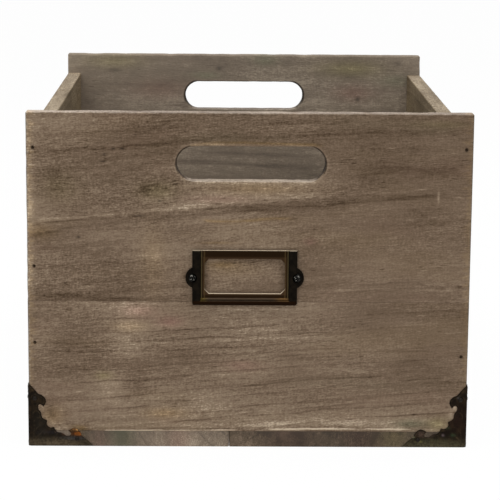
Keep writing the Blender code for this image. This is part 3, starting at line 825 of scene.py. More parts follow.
front_upper_patches = (
    ("dark", (1.4, -121.8, 186.4, 2, 0.8), (1.4, -26.5, 165.8, 3, 0.8), (1.6, -21.2, 169.4, 2.6, 0.8),
     (1, -70.2, 179, 3.5, 3.5), (0.2, 57.3, 182.7, 30, 20), (0.8, -130.5, 189, 12, 9),
     (0.7, 86, 194.5, 20, 5), (0.5, 122.4, 192, 18, 5), (0.3, 117.6, 166.7, 22, 9),
     (0.35, -96.7, 129.1, 15, 20), (0.5, 96.8, 222.2, 48, 5), (0.4, 105, 196, 70, 20),
     (0.7, -125.5, 106.2, 6, 1.8), (0.5, -63.6, 180.7, 26, 9), (0.4, 7.9, 227.1, 22, 5),
     # Painted shade from the label holder: the patches at -2.8, 129.8 under the window's top edge, at -28.8
     # and 22.7 along its sides, and at -43.7 beside the left ear
     (0.75, -2.8, 129.8, 28, 1.5), (0.75, 102.7, 108.7, 38, 7), (0.3, 107.7, 186.4, 44, 8),
     (0.4, -56.9, 150, 14, 6), (1, -28.8, 119.8, 1.9, 11), (0.8, 22.7, 120.1, 1.9, 11),
     (0.6, -43.7, 119.1, 1.7, 6)),
    ("light", (0.25, -125.8, 191.8, 26, 30), (0.5, -65, 129.3, 9, 26), (0.9, -3, 178, 40, 6),
     (0.4, 10, 150, 40, 14), (0.2, 59.4, 180.7, 14, 5), (0.4, 54.7, 136.9, 12, 12),
     # Painted light: the patch at -3.4, 121.4 inside the label's window
     (0.5, -18.3, 126.1, 9, 1.2), (0.8, -3.4, 121.4, 27, 10), (0.7, -139, 213.4, 26, 8),
     (0.4, -126.8, 224.2, 28, 5), (0.95, -142.2, 159.8, 18, 11), (0.4, -150, 128.9, 8, 32),
     (0.5, 83.4, 225.5, 24, 7), (0.7, 34.2, 153.2, 62, 12), (0.45, 123.5, 145.5, 30, 12),
     # Painted light: the patch at -2.8, 140 just above the label holder
     (0.4, -14.3, 144, 16, 6), (0.6, -2.8, 140, 36, 2.2), (0.35, -110.3, 212.2, 46, 12),
     (0.35, -34.8, 214.7, 16, 8), (0.4, -93.8, 166.2, 20, 4), (0.5, -146.3, 159.1, 9, 12),
     (2, 127.2, 174.6, 0.8, 4.2), (0.9, -147.5, 167.9, 3.2, 34), (0.6, -146.3, 215.3, 6, 16),
     (0.5, -148.1, 119.9, 4, 14)),
    ("black", (0.8, -85.5, 206.5, 1.9, 0.7), (0.7, -91.5, 206.4, 1.3, 0.8), (0.6, -97.6, 202.8, 1.2, 0.7),
     (0.7, -98.3, 198.1, 2.3, 0.5), (0.6, -74.3, 161, 3.6, 0.6), (0.6, -60.2, 171.1, 1.5, 0.7),
     (0.7, -115.1, 146.2, 1.7, 0.8)),
    ("olive", (0.25, -62, 178, 12, 6), (0.15, -128, 180, 12, 10)),
    ("tan", (0.25, -65, 129.3, 9, 26), (0.4, 5, 180, 34, 4)),
    ("pink", (0.3, -20, 172.5, 22, 3)),
    ("tan", (0.5, -141, 149.5, 10, 5)),
    ("pink", (0.5, 41, 143.7, 4, 2.5)),
    ("tan", (0.5, -23.1, 142.6, 12, 0.9), (0.6, -18.3, 127.5, 9, 2.2), (0.3, -12.9, 125.4, 20, 6)),
    ("olive", (0.2, 130, 224, 22, 3)),
)
front_lower_streaks = (
    ("dark",
     (1, 0.55, -104, 89.9, -94, 89.6, -80, 90.1, -67, 90.8, -53, 91.6, -40, 92.4),
     (0.94, 0.55, -118, 79.8, -108, 80.2, -80, 80.3, -67, 81.1, -53, 81.8, -39, 82.6, -26, 83.4, -12, 83.4,
      1, 84.9, 25, 85.7),
     (0.88, 0.55, -146, 73, -121, 72.4, -101, 73.2, -80, 74, -67, 74.8, -53, 75.5, -39, 76.3, -26, 77.1,
      -12, 77.1, 15, 79.4, 42, 80.9, 59, 81, 69, 81.7),
     (1, 0.55, -146, 67.4, -135, 67.4, -114, 66.5, -94, 66.9, -67, 67.4, -39, 68.6, -26, 70.1, -12, 70.1,
      1, 70.9, 29, 73.1, 42, 73.9, 63, 76.1),
     (0.69, 0.55, -121, 60.5, -94, 61.3, -67, 62.1, -39, 63.7, -26, 65.1, -12, 65.2, 15, 66.7, 29, 67.9,
      42, 69, 70, 69.8),
     (0.81, 0.55, -142, 57.6, -128, 56.2, -108, 54.2, -80, 55, -67, 56.5, -53, 58, -26, 59.5, -12, 60.3,
      8, 62.5, 29, 64.7, 49, 65.9, 70, 67, 90, 67.8, 131, 68),
     (0.75, 0.6, -145, 51.2, -128, 52, -115, 52.8),
     (1.25, 0.6, -118, 45, -108, 45.1, -94, 46.9, -80, 46.6, -67, 47.4, -50, 49.2, -33, 51.8),
     (0.62, 0.55, -46, 50.3, -19, 53.2, 8, 55.1, 43, 57.7, 70, 59.3, 97, 60.8, 138, 63.1),
     (0.62, 0.55, -104, 39.8, -80, 41, -60, 43.2, -39, 45.4, -12, 47.6, 8, 48.8),
     (1.06, 0.6, -142, 35, -128, 32.3, -108, 33, -94, 34.5, -80, 36, -67, 37.5, -39, 40.1, -26, 41.6,
      2, 43.4, 29, 46.4, 56, 48.6, 70, 49.4, 101, 51),
     (0.81, 0.55, -87, 32.4, -53, 32.6, -39, 32.6, -26, 34.1, 2, 37.1, 22, 38.9, 43, 40.8, 70, 43.8,
      98, 45.3, 111, 47.5, 139, 49.7),
     (1, 0.55, -118, 25.2, -108, 25.3, -94, 26.7, -80, 27.5, -67, 29.7, -53, 31.5, -36, 32.7),
     (0.62, 0.55, -9, 28.5, 15, 30.1, 29, 30.8, 57, 33.1, 91, 36.1, 125, 39.8, 142, 41.3),
     (0.94, 0.6, 33, 24.5, 57, 27.1, 70, 27.8, 84, 28.2, 112, 30.5, 139, 32.7),
     (0.88, 0.55, -46, 23.4, -22, 24.9, -2, 25.7),
     (0.94, 0.55, -2, 22.2, 16, 23, 29, 23.7, 44, 25.2),
     (1, 0.55, 71, 21.1, 84, 21.8, 98, 21.9, 112, 23.4, 125, 24.2, 145, 25),
     (0.88, 0.6, -70, 12.6, -53, 13.4, -39, 14.2),
     (0.88, 0.55, -56, 17.7, -39, 18.5, -22, 20),
     (1.2, 0.5, -62, 12.5, -50, 12.3, -36, 12.3, -22, 12.8, -8, 12.9, 3, 13.5, 14, 13.7)),
    ("light",
     (0.6, 0.7, -87, 71.9, -67, 72.7, -39, 73.5, -26, 74.3, 1, 75.8, 29, 77.3, 56, 78.2, 76, 79),
     (0.4, 0.7, 36, 54.9, 56, 55.7, 77, 53, 97, 53.8, 111, 55.2, 132, 55.3),
     (0.5, 0.7, -26, 51.1, -12, 51.1, 2, 52.6, 19, 53.4),
     (1.3, 2.2, -8, 13.6, 9, 14.8, 29, 16.3, 50, 17.1, 71, 16.8, 91, 15.8, 112, 14.1),
     (0.5, 1.5, -115, 13.9, -101, 14.6, -67, 15.1, -26, 15, 2, 15.1),
     (0.5, 1.2, 95, 17.6, 112, 18.8, 126, 18.5, 136, 17.8),
     (0.6, 0.7, -155, 100.4, -101, 100.3, -43, 100.3),
     (1.2, 0.6, 102, 12.7, 107, 12.7, 113, 12.4)),
    # The bare lines along the foot, just above the floor, and the broad light streak above them from u -8 to
    # 112, are partly worn wood and partly a painted highlight on the board's lower rim
    ("bare",
     (0.7, 0.4, -100, 11.3, -92, 11.3, -78, 11.4, -64, 11.6),
     (0.7, 0.45, -100, 11.3, -91, 11.3, -74, 11.4, -57, 11.7, -33, 11.6, -2, 11.9),
     (0.9, 0.65, 10, 12.3, 30, 12.6, 45, 12.9, 60, 13, 72, 12.9, 88, 12.7, 113, 12.4),
     (0.5, 0.5, 24, 12.7, 45, 13, 60, 13.1, 76, 13)),
)
front_lower_patches = (
    ("dark", (0.9, -113.1, 11, 3, 1.6), (1.5, -124.1, 8.1, 2.6, 1.6), (0.3, 58.7, 95.3, 34, 12),
     (0.2, -132.1, 36.1, 18, 14), (0.45, -118, 66, 20, 22), (0.9, -76, 45.6, 7, 9),
     (0.4, -53.4, 52.7, 14, 7), (0.85, 96, 62, 64, 30), (1.6, 114.1, 23.6, 1.6, 0.8),
     (0.65, 79.2, 91.2, 40, 15), (0.55, -60.3, 35, 28, 6), (1.1, -134.9, 26.2, 5, 10),
     (0.8, 132.8, 19.6, 9, 7), (0.35, -139.4, 53.7, 12, 24), (0.35, -82, 76.4, 8, 6),
     (0.35, -121.4, 85.3, 18, 8), (0.55, -148, 71.2, 5, 36), (0.3, 147.3, 69.1, 4, 30),
     (0.9, 112.3, 16.6, 11, 3)),
    ("light", (0.3, 70.1, 26.4, 40, 12), (1.5, -76, 95.9, 13, 5), (1.1, -80.8, 84.7, 12, 5),
     (1.1, -84, 71.5, 9, 10), (0.9, -96.5, 42.6, 10, 11), (0.3, 25.4, 18.7, 24, 5), (0.3, -60, 20, 50, 7),
     (0.2, -131, 21, 6, 4), (0.3, 133, 21, 7, 4), (0.5, 8, 59.3, 26, 12), (1, 66.8, 20, 38, 6),
     (0.5, 97.4, 36.5, 32, 11), (0.45, -54.8, 91.2, 16, 8), (0.8, -2.5, 96.7, 36, 1.4),
     (0.4, -53.4, 52.7, 10, 6), (0.3, 1, 82.4, 26, 10), (0.7, 144.1, 81.3, 4, 0.4),
     (0.35, 59.9, 22.8, 40, 5)),
    ("bare", (0.25, -140.4, 27.6, 1.2, 1.6), (0.32, -137.6, 21.3, 1.4, 2), (0.32, -133.4, 16.6, 2.2, 1.6),
     (0.35, -128.6, 12.6, 3.2, 0.9), (0.4, 142.4, 28.6, 1.8, 1.2), (0.35, 139.2, 23.6, 1.8, 2.2),
     (0.4, 131.5, 16, 4.4, 1.9), (0.35, 126, 12.6, 4.5, 0.9)),
    ("tan", (0.8, -113.8, 11.7, 3.5, 2), (0.6, -116.5, 13.5, 5, 1.6)),
    ("pink", (0.4, -74, 95, 13, 5)),
    ("tan", (0.3, -80.8, 84.7, 12, 4)),
    ("pink", (0.6, -53.5, 88, 9, 4), (0.4, -3.7, 57.6, 13, 4)),
    ("olive", (0.3, -98.7, 50.2, 6, 3)),
    ("tan", (0.5, -57, 23.5, 14, 4), (0.5, -134, 22, 8, 7)),
    ("green", (0.4, 112.3, 16.6, 11, 3)),
    ("olive", (0.35, 130.8, 16.7, 8, 5)),
)
floor_left_patches = (
    ("dark", (1.6, -200, -87, 20, 8), (1.2, -200, -113, 20, 6), (0.7, -200, -86, 20, 6),
     (1.1, -200, -106, 20, 9), (0.35, -200, -18, 20, 6)),
    ("light", (1.3, -200, -47, 20, 16)),
    ("tan", (0.3, -200, -113, 20, 6), (0.5, -200, -116.5, 20, 3)),
    ("green", (0.4, -200, -86, 20, 8)),
    ("pink", (0.3, -200, -102, 20, 6), (0.25, -200, -48, 20, 8)),
)
floor_right_patches = (
    ("dark", (1, -200, 19, 20, 9), (1.2, -200, 36, 20, 8), (0.5, -200, 47, 20, 5), (0.9, -200, 72, 20, 13),
     (0.7, -200, 90, 20, 7)),
    ("light", (1.6, -200, -3, 20, 9), (0.9, -200, 104, 20, 9)),
    ("olive", (0.3, -200, 100, 20, 12)),
    ("pink", (0.3, -200, 30, 20, 14), (0.3, -200, 78, 20, 12)),
)
back_upper_streaks = (
    ("dark",
     (1.2, 1.5, -62, 144.2, -46, 144.8, -14, 145.9, 10, 146.7, 40, 147.2),
     (1.7, 1.8, -62, 133.8, -48, 134.7, -14, 136.2, 20, 138.4, 55, 139.5, 64, 139.8),
     (0.6, 1.2, -60, 124.4, -48, 124.7, 46, 126, 60, 126.2)),
)
back_upper_patches = (
    ("dark", (2.2, 110.4, 217.6, 5, 2), (3, 21.5, 219.5, 3, 1.9), (4, -97.2, 193.6, 1.8, 2),
     (1.2, -89.1, 212.9, 9, 2), (2, -130.9, 224.3, 2.8, 1.8), (1.5, -124.1, 218.7, 3, 1.2),
     (0.5, -76.2, 214.5, 24, 5), (0.6, 133.7, 192.5, 7, 9)),
    ("light", (0.9, 72, 191, 52, 9), (0.3, -70, 184, 40, 5)),
    ("green", (0.35, -17.8, 227, 11, 5), (0.35, 32.6, 213.8, 12, 3), (0.3, -129.5, 209.7, 14, 5)),
    ("pink", (0.4, -92.8, 199.2, 16, 7), (0.3, 72, 201.5, 26, 8)),
    ("olive", (0.4, -90.7, 219.8, 26, 7), (0.3, 110.4, 225.3, 24, 6)),
)
side_upper_patches = (
    ("olive", (0.25, 0, 190, 400, 60)),
)

# Wear along edges, and some painted shade and highlight: the sides it lies along, its width, its strength and
# its tint
wall_edges = (
    ("u-", 0.006, 0.85, "light"),
    ("u-", 0.006, 0.35, "tan"),
    ("u-", 0.0018, 0.6, "grey"),
    ("u+", 0.0018, 0.5, "grey"),
    ("u+", 0.006, 0.45, "light"),
    ("u+", 0.006, 0.35, "tan"),
    ("u-", 0.0006, 1.6, "dark"),
    ("u+", 0.0006, 1.2, "dark"),
)
front_top_edges = (("v+", 0.0026, 0.7, "dark"), ("v+", 0.0011, 2.3, "light"), ("v+", 0.0011, 0.6, "ash"))
# On the side walls' top: wear, and a faint painted highlight on the inner arris
side_top_wear_and_highlight = (("v+", 0.0009, 0.85, "light"), ("v+", 0.0009, 0.3, "ash"), ("v+w-", 0.0014, 0.1, "bare"))
# Painted shade on the back wall's rounded top rim, against the light it catches
back_top_painted_shade = (("v+", 0.0009, 0.6, "dark"),)
# Painted shade at the top of the floor's front end, under the wall, and lighter towards its bottom
floor_end_painted_shading = (("u-w-", 0.006, 0.7, "dark"), ("u-w+", 0.006, 0.5, "light"))

# Each board's look. The grain's numbers are those of grain_names.
looks = {
    "front_upper": {"grain": (1, 0.06, -0.35, -0.06, 0.0105, 0.11), "lightness": -0.01,
                    "edges": front_top_edges + wall_edges, "slot_shade": 1.5},
    "front_lower": {"grain": (2, 0.075, -0.6, -0.1, 0.0075, 0.14), "lightness": 0.06, "edges": wall_edges},
    "back_upper": {"grain": (3, 0.01, -0.25, -0.05, 0.011, 0.1), "fine": 0.75, "lightness": 0.185,
                   "edges": back_top_painted_shade, "greyed": 0.42, "slot_rub": 0.45, "slot_shade": 2.2,
                   "blotches": 0.35},
    "back_lower": {"grain": (4, -0.03, -0.4, -0.1, 0.009, 0.22), "fine": 0.7, "lightness": 0.1,
                   "edges": wall_edges, "greyed": 0.25},
    "left_upper": {"grain": (5, 0.015, -0.1, -0.06, 0.01, 0.22), "lightness": 0,
                   "edges": side_top_wear_and_highlight + wall_edges},
    "left_lower": {"grain": (6, -0.02, -0.3, -0.08, 0.0085, 0.22), "lightness": -0.02, "edges": wall_edges},
    "right_upper": {"grain": (7, -0.02, -0.15, -0.07, 0.01, 0.22), "lightness": 0.01,
                    "edges": side_top_wear_and_highlight + wall_edges},
    "right_lower": {"grain": (8, 0.03, -0.5, -0.08, 0.008, 0.22), "lightness": -0.01, "edges": wall_edges},
    "floor_left": {"grain": (9, 0.01, 0.02, -0.05, 0.006, 0.25), "lightness": 0,
                   "edges": (("w+", 0.0008, 0.2, "dark"), *floor_end_painted_shading), "blotches": 0.5, "greyed": 0.3},
    "floor_right": {"grain": (10, -0.01, -0.03, -0.06, 0.006, 0.25), "lightness": -0.29,
                    "edges": (("w+", 0.0008, 0.9, "dark"), *floor_end_painted_shading), "blotches": 0.7,
                    "greyed": 0.16},
}
marks = {
    "back_upper": (back_upper_streaks, back_upper_patches),
    "front_upper": (front_upper_streaks, front_upper_patches),
    "left_upper": ((), side_upper_patches),
    "right_upper": ((), side_upper_patches),
    "front_lower": (front_lower_streaks, front_lower_patches),
    "floor_left": ((), floor_left_patches),
    "floor_right": ((), floor_right_patches),
}


def brad_places(prefix, place):
    """Where the brads of one face go in, in its face frame."""
    boxes = [local_box(name, place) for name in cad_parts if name.startswith(prefix)]
    return [((low.x + high.x) / 2, (low.y + high.y) / 2) for low, high in boxes]


def add_board(node, place, rims, low, high, slot, brads):
    """A board, with those of the brads that go into it."""
    key = node.removesuffix("_board")
    look = looks[key]
    brads = [brad for brad in brads if low.y < brad[1] < high.y]
    mesh = board_mesh(node + "_mesh", low, high, rims, slot, brads, look["grain"][0])
    streaks, patches = marks.get(key, ((), ()))
    for u, v in brads:
        stain = brad_stains["high" if v > brad_stain_height else "low"]
        patches += (("black", (stain, u / mm, v / mm, *brad_stain_size)),)
    material = wood_material(key + "_wood", look, low, high, slot, streaks, patches)
    slots = {"front": "front_wood", "back": "back_wood", "floor": "floor_wood"}
    slot_name = slots.get(node.split("_")[0], "side_wood")
    new_piece(key + "_plank", mesh, place, material, (node,))


def add_wall(wall):
    """A wall's two boards, closed up at the glued seam between them."""
    place = face_frame(wall)
    brads = brad_places(f"wall_brad_{wall}_", place)
    boxes = {level: local_box(f"{wall}_{level}_board", place) for level in ("upper", "lower")}
    seam = (boxes["upper"][0].y + boxes["lower"][1].y) / 2
    for level, (low, high) in boxes.items():
        rims = {"foot": worn_rim, "head": worn_rim, "ends": worn_rim}
        slot = None
        if level == "upper":
            low.y = seam + seam_gap / 2
            rims["foot"] = seam_rim
            if wall in ("front", "back"):
                top = high.y - slot_top_margin
                middle = front_slot_shift if wall == "front" else 0.0
                slot = ((middle - slot_length / 2, top - slot_height), (middle + slot_length / 2, top))
        else:
            high.y = seam - seam_gap / 2
            rims["head"] = seam_rim
            rims["foot"] = foot_rim
            low.y -= foot_close
        add_board(f"{wall}_{level}_board", place, rims, low, high, slot, brads)


def add_floor():
    """The floor's two boards. In their face frame u runs to the back, v to the right and w down."""
    place = Matrix(((0, 1, 0, 0), (1, 0, 0, 0), (0, 0, -1, 0), (0, 0, 0, 1)))
    brads = brad_places("floor_brad_", place)
    boxes = {side: local_box(f"floor_{side}_board", place) for side in ("left", "right")}
    joint = (boxes["left"][1].y + boxes["right"][0].y) / 2
    for side, (low, high) in boxes.items():
        rims = {"foot": worn_rim, "head": worn_rim, "ends": foot_rim}
        if side == "left":
            high.y = joint - seam_gap
            rims["head"] = seam_rim * 2
        else:
            low.y = joint + seam_gap
            rims["foot"] = seam_rim * 2
        add_board(f"floor_{side}_board", place, rims, low, high, None, brads)


def leaf_points():
    """One leaf's fancy edge as points across and up, in metres, from the fold's tip to the foot's tip."""
    half = list(leaf_edge_shares)
    corners = half + [(up, across, sharp) for across, up, sharp in reversed(half)] + [(0.0, 0.0, True)]
    curve = bpy.data.curves.new("leaf_edge", "CURVE")
    curve.resolution_u = 8
    spline = curve.splines.new("BEZIER")
    spline.bezier_points.add(len(corners) - 1)
    spline.use_cyclic_u = True
    for point, (across, up, sharp) in zip(spline.bezier_points, corners):
        point.co = (across * plate_arm, up * plate_arm, 0)
        point.handle_left_type = point.handle_right_type = "VECTOR" if sharp else "AUTO"
    mesh = evaluated_mesh(new_object("leaf_edge", curve))
    points = [vert.co.xy for vert in mesh.vertices]
    bpy.data.meshes.remove(mesh)
    last = min(range(len(points)), key=lambda k: (points[k] - Vector((half[0][1] * plate_arm, 0))).length)
    return points[:last + 1]


def evaluated_mesh(body):
    """The mesh that an object gives with its modifiers. The object is removed."""
    bpy.context.view_layer.update()
    mesh = bpy.data.meshes.new_from_object(body.evaluated_get(bpy.context.evaluated_depsgraph_get()))
    bpy.data.objects.remove(body)
    return mesh


def thinned(points, step):
    """A closed outline with its points about a step apart, keeping its corners."""
    found = []
    for k, point in enumerate(points):
        after = points[(k + 1) % len(points)]
        count = max(1, round((after - point).length / step))
        found += [point.lerp(after, j / count) for j in range(count)]
    return found


def distance_to_lines(points, lines):
    """The least distance from each of an array of points to a list of straight lines."""
    least = np.full(len(points), 1.0)
    for first, second in lines:
        first, second = np.array(first), np.array(second)
        span = second - first
        share = np.clip(((points - first) @ span) / max(span @ span, 1e-12), 0, 1)
        least = np.minimum(least, np.linalg.norm(points - first - share[:, None] * span, axis=1))
    return least


def ridge(distance, height=1.0):
    return height * np.exp(-(distance / plate_ridge_width) ** 2)


def leaf_relief(flat, edge):
    """How far the plate's ornament stands up at points of the unfolded plate, as a share of a ridge."""
    mirrored = np.abs(flat)
    veins = []
    for vein in leaf_vein_shares:
        vein = [Vector(point) * plate_arm for point in vein]
        veins += list(zip(vein, vein[1:]))
        veins += [(a.yx, b.yx) for a, b in zip(vein, vein[1:])]
    border = distance_to_lines(mirrored, list(zip(edge, edge[1:]))) - plate_border_place
    heights = np.maximum(ridge(border), ridge(distance_to_lines(mirrored, veins)))
    for pin in (plate_pin_share, plate_pin_share.yx):
        away = np.linalg.norm(mirrored - np.array(pin * plate_arm), axis=1)
        heights = np.where(away < plate_rosette_radius, 0.0, heights)
        heights = np.maximum(heights, ridge(away - plate_rosette_radius, 0.9))
    return heights


def fold(across, height):
    """Where a point of the unfolded plate lies in plan: in from the box's corner along its two faces."""
    a = abs(across)
    if a >= plate_fold_radius:
        along, out = a, height
    else:
        angle = (1 - a / plate_fold_radius) * math.pi / 4
        along = plate_fold_radius - (plate_fold_radius + height) * math.sin(angle)
        out = (plate_fold_radius + height) * math.cos(angle) - plate_fold_radius
    return (along, -out) if across >= 0 else (-out, along)


def corner_plate_mesh(name, corner, foot):
    """A folded plate with a raised border and veins, round the box's edge at a corner in plan."""
    edge = leaf_points()
    left = [Vector((-p.x, p.y)) for p in reversed(edge)]
    rim = thinned(edge + left[:-1], plate_edge_step)
    rows = int(plate_arm / plate_grid)
    grid = np.array([((k + 0.5 * (row % 2)) * plate_grid, (row + 0.6) * plate_grid)
                     for row in range(rows) for k in range(-rows, rows)])
    loop = np.array([tuple(p) for p in rim])
    grid = grid[inside(grid, loop)]
    grid = grid[distance_to_lines(grid, list(zip(rim, rim[1:] + rim[:1]))) > plate_grid * 0.55]
    places = [Vector(p) for p in (*loop, *grid)]
    faces, middles = triangles(places, [(k, (k + 1) % len(rim)) for k in range(len(rim))])

    relief = leaf_relief(np.array([tuple(p) for p in places]), edge)
    bm = bmesh.new()
    tops, backs = [], []
    for k, (place, raised) in enumerate(zip(places, relief)):
        height = (raised - 1.0) * plate_ridge_height - (plate_edge_drop if k < len(rim) else 0.0)
        for verts, h in ((tops, height), (backs, -plate_thickness)):
            inward = fold(place.x, h)
            x, y = [c - math.copysign(d, c) for c, d in zip(corner, inward)]
            verts.append(bm.verts.new((x, y, foot + place.y)))
    for face, keep in zip(faces, inside(middles, loop)):
        if keep and len(set(face)) == 3:
            bm.faces.new([tops[k] for k in face])
            bm.faces.new([backs[k] for k in reversed(face)])
    bridge(bm, tops[:len(rim)], backs[:len(rim)])
    mesh = smooth(to_mesh(bm, name), 50)
    attribute = mesh.attributes.new("relief", "FLOAT", "POINT")
    attribute.data.foreach_set("value", np.repeat(relief, 2).astype(np.float32))
    return mesh


def add_corner_plates(material):
    for wall in ("front", "back"):
        for side in ("left", "right"):
            node = f"corner_plate_{wall}_{side}"
            low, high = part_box(node)
            x = low.x if side == "left" else high.x
            y = low.y if wall == "front" else high.y
            mesh = corner_plate_mesh(node + "_mesh", (x, y), low.z)
            new_piece(f"{wall}_{side}_corner_plate", mesh, Matrix(), material, (node,))


def sweep(bm, section, side_width, foot_width, start=(0.0, 0.0)):
    """A closed section carried down one side of the label holder, along its foot and up the other side."""
    half_width, half_height = label_width / 2, label_height / 2
    runs = []
    for share, height in section:
        side = start[0] + share * side_width
        foot = start[1] + share * foot_width
        x, y = half_width - side, foot - half_height
        radius = max(label_corner - min(side, foot), least_label_corner)
        run = [(-x, half_height)]
        for centre_x, begin in ((-x + radius, 180), (x - radius, 270)):
            for k in range(label_corner_steps + 1):
                angle = math.radians(begin + 90 * k / label_corner_steps)
                run.append((centre_x + radius * math.cos(angle), y + radius + radius * math.sin(angle)))
        run.append((x, half_height))
        runs.append([bm.verts.new((u, v, height)) for u, v in run])
    for first, second in zip(runs, runs[1:] + runs[:1]):
        for k in range(len(first) - 1):
            bm.faces.new((first[k], first[k + 1], second[k + 1], second[k]))
    bm.faces.new([run[0] for run in runs])
    bm.faces.new([run[-1] for run in reversed(runs)])


def prism(bm, loops, low, high, lip=0.0):
    """A flat plate between two heights, from an outer loop and holes, with a slightly worn lip on top."""
    bottoms, tops = [], []
    for loop in loops:
        bottoms.append([bm.verts.new((x, y, low)) for x, y in loop])
        rim = [bm.verts.new((x, y, high - lip)) for x, y in loop]
        middle = sum((Vector(p) for p in loop), Vector((0, 0))) / len(loop)
        sign = -1 if loop is loops[0] else 1
        face = []
        for x, y in loop:
            away = Vector((x, y)) - middle
            step = Vector((math.copysign(lip, away.x), math.copysign(lip, away.y))) * sign
            face.append(bm.verts.new((x + step.x, y + step.y, high)))
        bridge(bm, bottoms[-1], rim, face)
        tops.append(face)
    fill(bm, bottoms[0], bottoms[1:], low)
    fill(bm, tops[0], tops[1:], high)


def as_object(bm, name):
    return new_object(name, to_mesh(bm, name))


def combined(base, others, operation):
    """The mesh of a body joined with others or cut by them. The bodies are removed."""
    for other in others:
        modifier = base.modifiers.new(other.name, "BOOLEAN")
        modifier.operation = operation
        modifier.object = other
        modifier.solver = "EXACT"
    mesh = evaluated_mesh(base)
    for body in others:
        bpy.data.objects.remove(body)
    return mesh


def window_loop():
    """The window's outline, with its corners cut."""
    right, low, high, cut = window_right, window_low, window_high, window_corner_cut
    return [(-right + cut, low), (right - cut, low), (right, low + cut), (right, high - cut),
            (right - cut, high), (-right + cut, high), (-right, high - cut), (-right, low + cut)]


def ear_loops():
    """The two round ears, each run in under the rim."""
    centre = label_width / 2 + ear_reach - ear_radius
    root = label_width / 2 - label_side_rim * 0.9
    turns = [math.pi * (k / ear_steps - 0.5) for k in range(ear_steps + 1)]
    right = [(centre + ear_radius * math.cos(t), ear_rise + ear_radius * math.sin(t)) for t in turns]
    right += [(root, ear_rise + ear_radius), (root, ear_rise - ear_radius)]
    return right, [(-x, y) for x, y in reversed(right)]


def add_label_holder(material):
    """The label holder, with its middle on the front's outer face."""
    low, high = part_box("label_holder")
    middle = Vector(((low.x + high.x) / 2, high.y, (low.z + high.z) / 2))
    place = Matrix.Translation(middle) @ Matrix.Rotation(math.radians(90), 4, "X")

    parts = {name: bmesh.new() for name in ("label_sheet", "label_rim", "label_bead", "label_ears")}
    x, foot, head = (label_width - label_corner) / 2, (label_corner - label_height) / 2, label_height / 2
    edge = [(-x, foot), (x, foot), (x, head), (-x, head)]
    prism(parts["label_sheet"], [edge, window_loop()], label_sheet_low, label_sheet_high, window_lip)
    sweep(parts["label_rim"], rim_section, label_side_rim, label_foot_rim)
    sweep(parts["label_bead"], bead_section, bead_width, bead_width, (label_side_rim, label_foot_rim))
    for loop in ear_loops():
        prism(parts["label_ears"], [loop], 0.0, ear_thickness)
    first, *others = [as_object(bm, name) for name, bm in parts.items()]
    mesh = combined(first, others, "UNION")
    seats = bmesh.new()
    for side in (-1, 1):
        centre = (side * (label_width / 2 - screw_inset), ear_rise)
        prism(seats, [circle(centre, screw_seat_radius, turned_steps)], ear_thickness, screw_seat_top)
    mesh = combined(new_object("label_frame", mesh), [as_object(seats, "screw_seats")], "DIFFERENCE")
    new_piece("label_frame", smooth(mesh, 40), place, material, ("label_holder",))


def turned(profile):
    """A solid turned about Z from radius and height pairs that start and end on the axis."""
    bm = bmesh.new()
    top = bm.verts.new((0, 0, profile[0][1]))
    tip = bm.verts.new((0, 0, profile[-1][1]))
    rings = []
    for radius, height in profile[1:-1]:
        rings.append([bm.verts.new((p.x, p.y, height)) for p in circle((0, 0), radius, turned_steps)])
    bridge(bm, *rings)
    for k in range(turned_steps):
        j = (k + 1) % turned_steps
        bm.faces.new((top, rings[0][k], rings[0][j]))
        bm.faces.new((tip, rings[-1][j], rings[-1][k]))
    return bm


def head_place(node, head_height):
    """Where a pin or screw sits: under its head on the face it is driven into, with Z out of that face."""
    low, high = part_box(node)
    size, middle = high - low, (low + high) / 2
    axis = max(range(3), key=lambda k: size[k])
    outward = Vector((0, 0, 0))
    outward[axis] = math.copysign(1, middle[axis])
    seat = middle.copy()
    seat[axis] += outward[axis] * (size[axis] / 2 - head_height)
    return Matrix.Translation(seat) @ outward.to_track_quat("Z", "Y").to_matrix().to_4x4()


def add_pins(material):
    mesh = smooth(to_mesh(turned(pin_profile), "pin"), 50)
    for node in [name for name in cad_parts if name.startswith("plate_pin_")]:
        name = node.removeprefix("plate_pin_") + "_pin"
        place = head_place(node, pin_profile[0][1])
        if abs(place.col[2].x) > 0.5:
            place = place @ Matrix.Translation((0, 0, -side_pin_sink))
        new_piece(name, mesh, place, material, (node,))


def add_screws(material):
    """The label holder's screws, each with a cross cut into its head."""
    half, w, top = screw_recess_length / 2, screw_recess_width / 2, screw_profile[0][1]
    cross = [(w, w), (half, w), (half, -w), (w, -w), (w, -half), (-w, -half), (-w, -w), (-half, -w),
             (-half, w), (-w, w), (-w, half), (w, half)]
    for node, turn in screw_turns.items():
        bm = bmesh.new()
        prism(bm, [cross], top - screw_recess_depth, top + screw_recess_depth)
        body = as_object(turned(screw_profile), node)
        mesh = smooth(combined(body, [as_object(bm, "cross")], "DIFFERENCE"), 40)
        place = head_place(node, top) @ Matrix.Rotation(math.radians(turn), 4, "Z")
        new_piece(node.removeprefix("label_") + "_head", mesh, place, material, (node,))


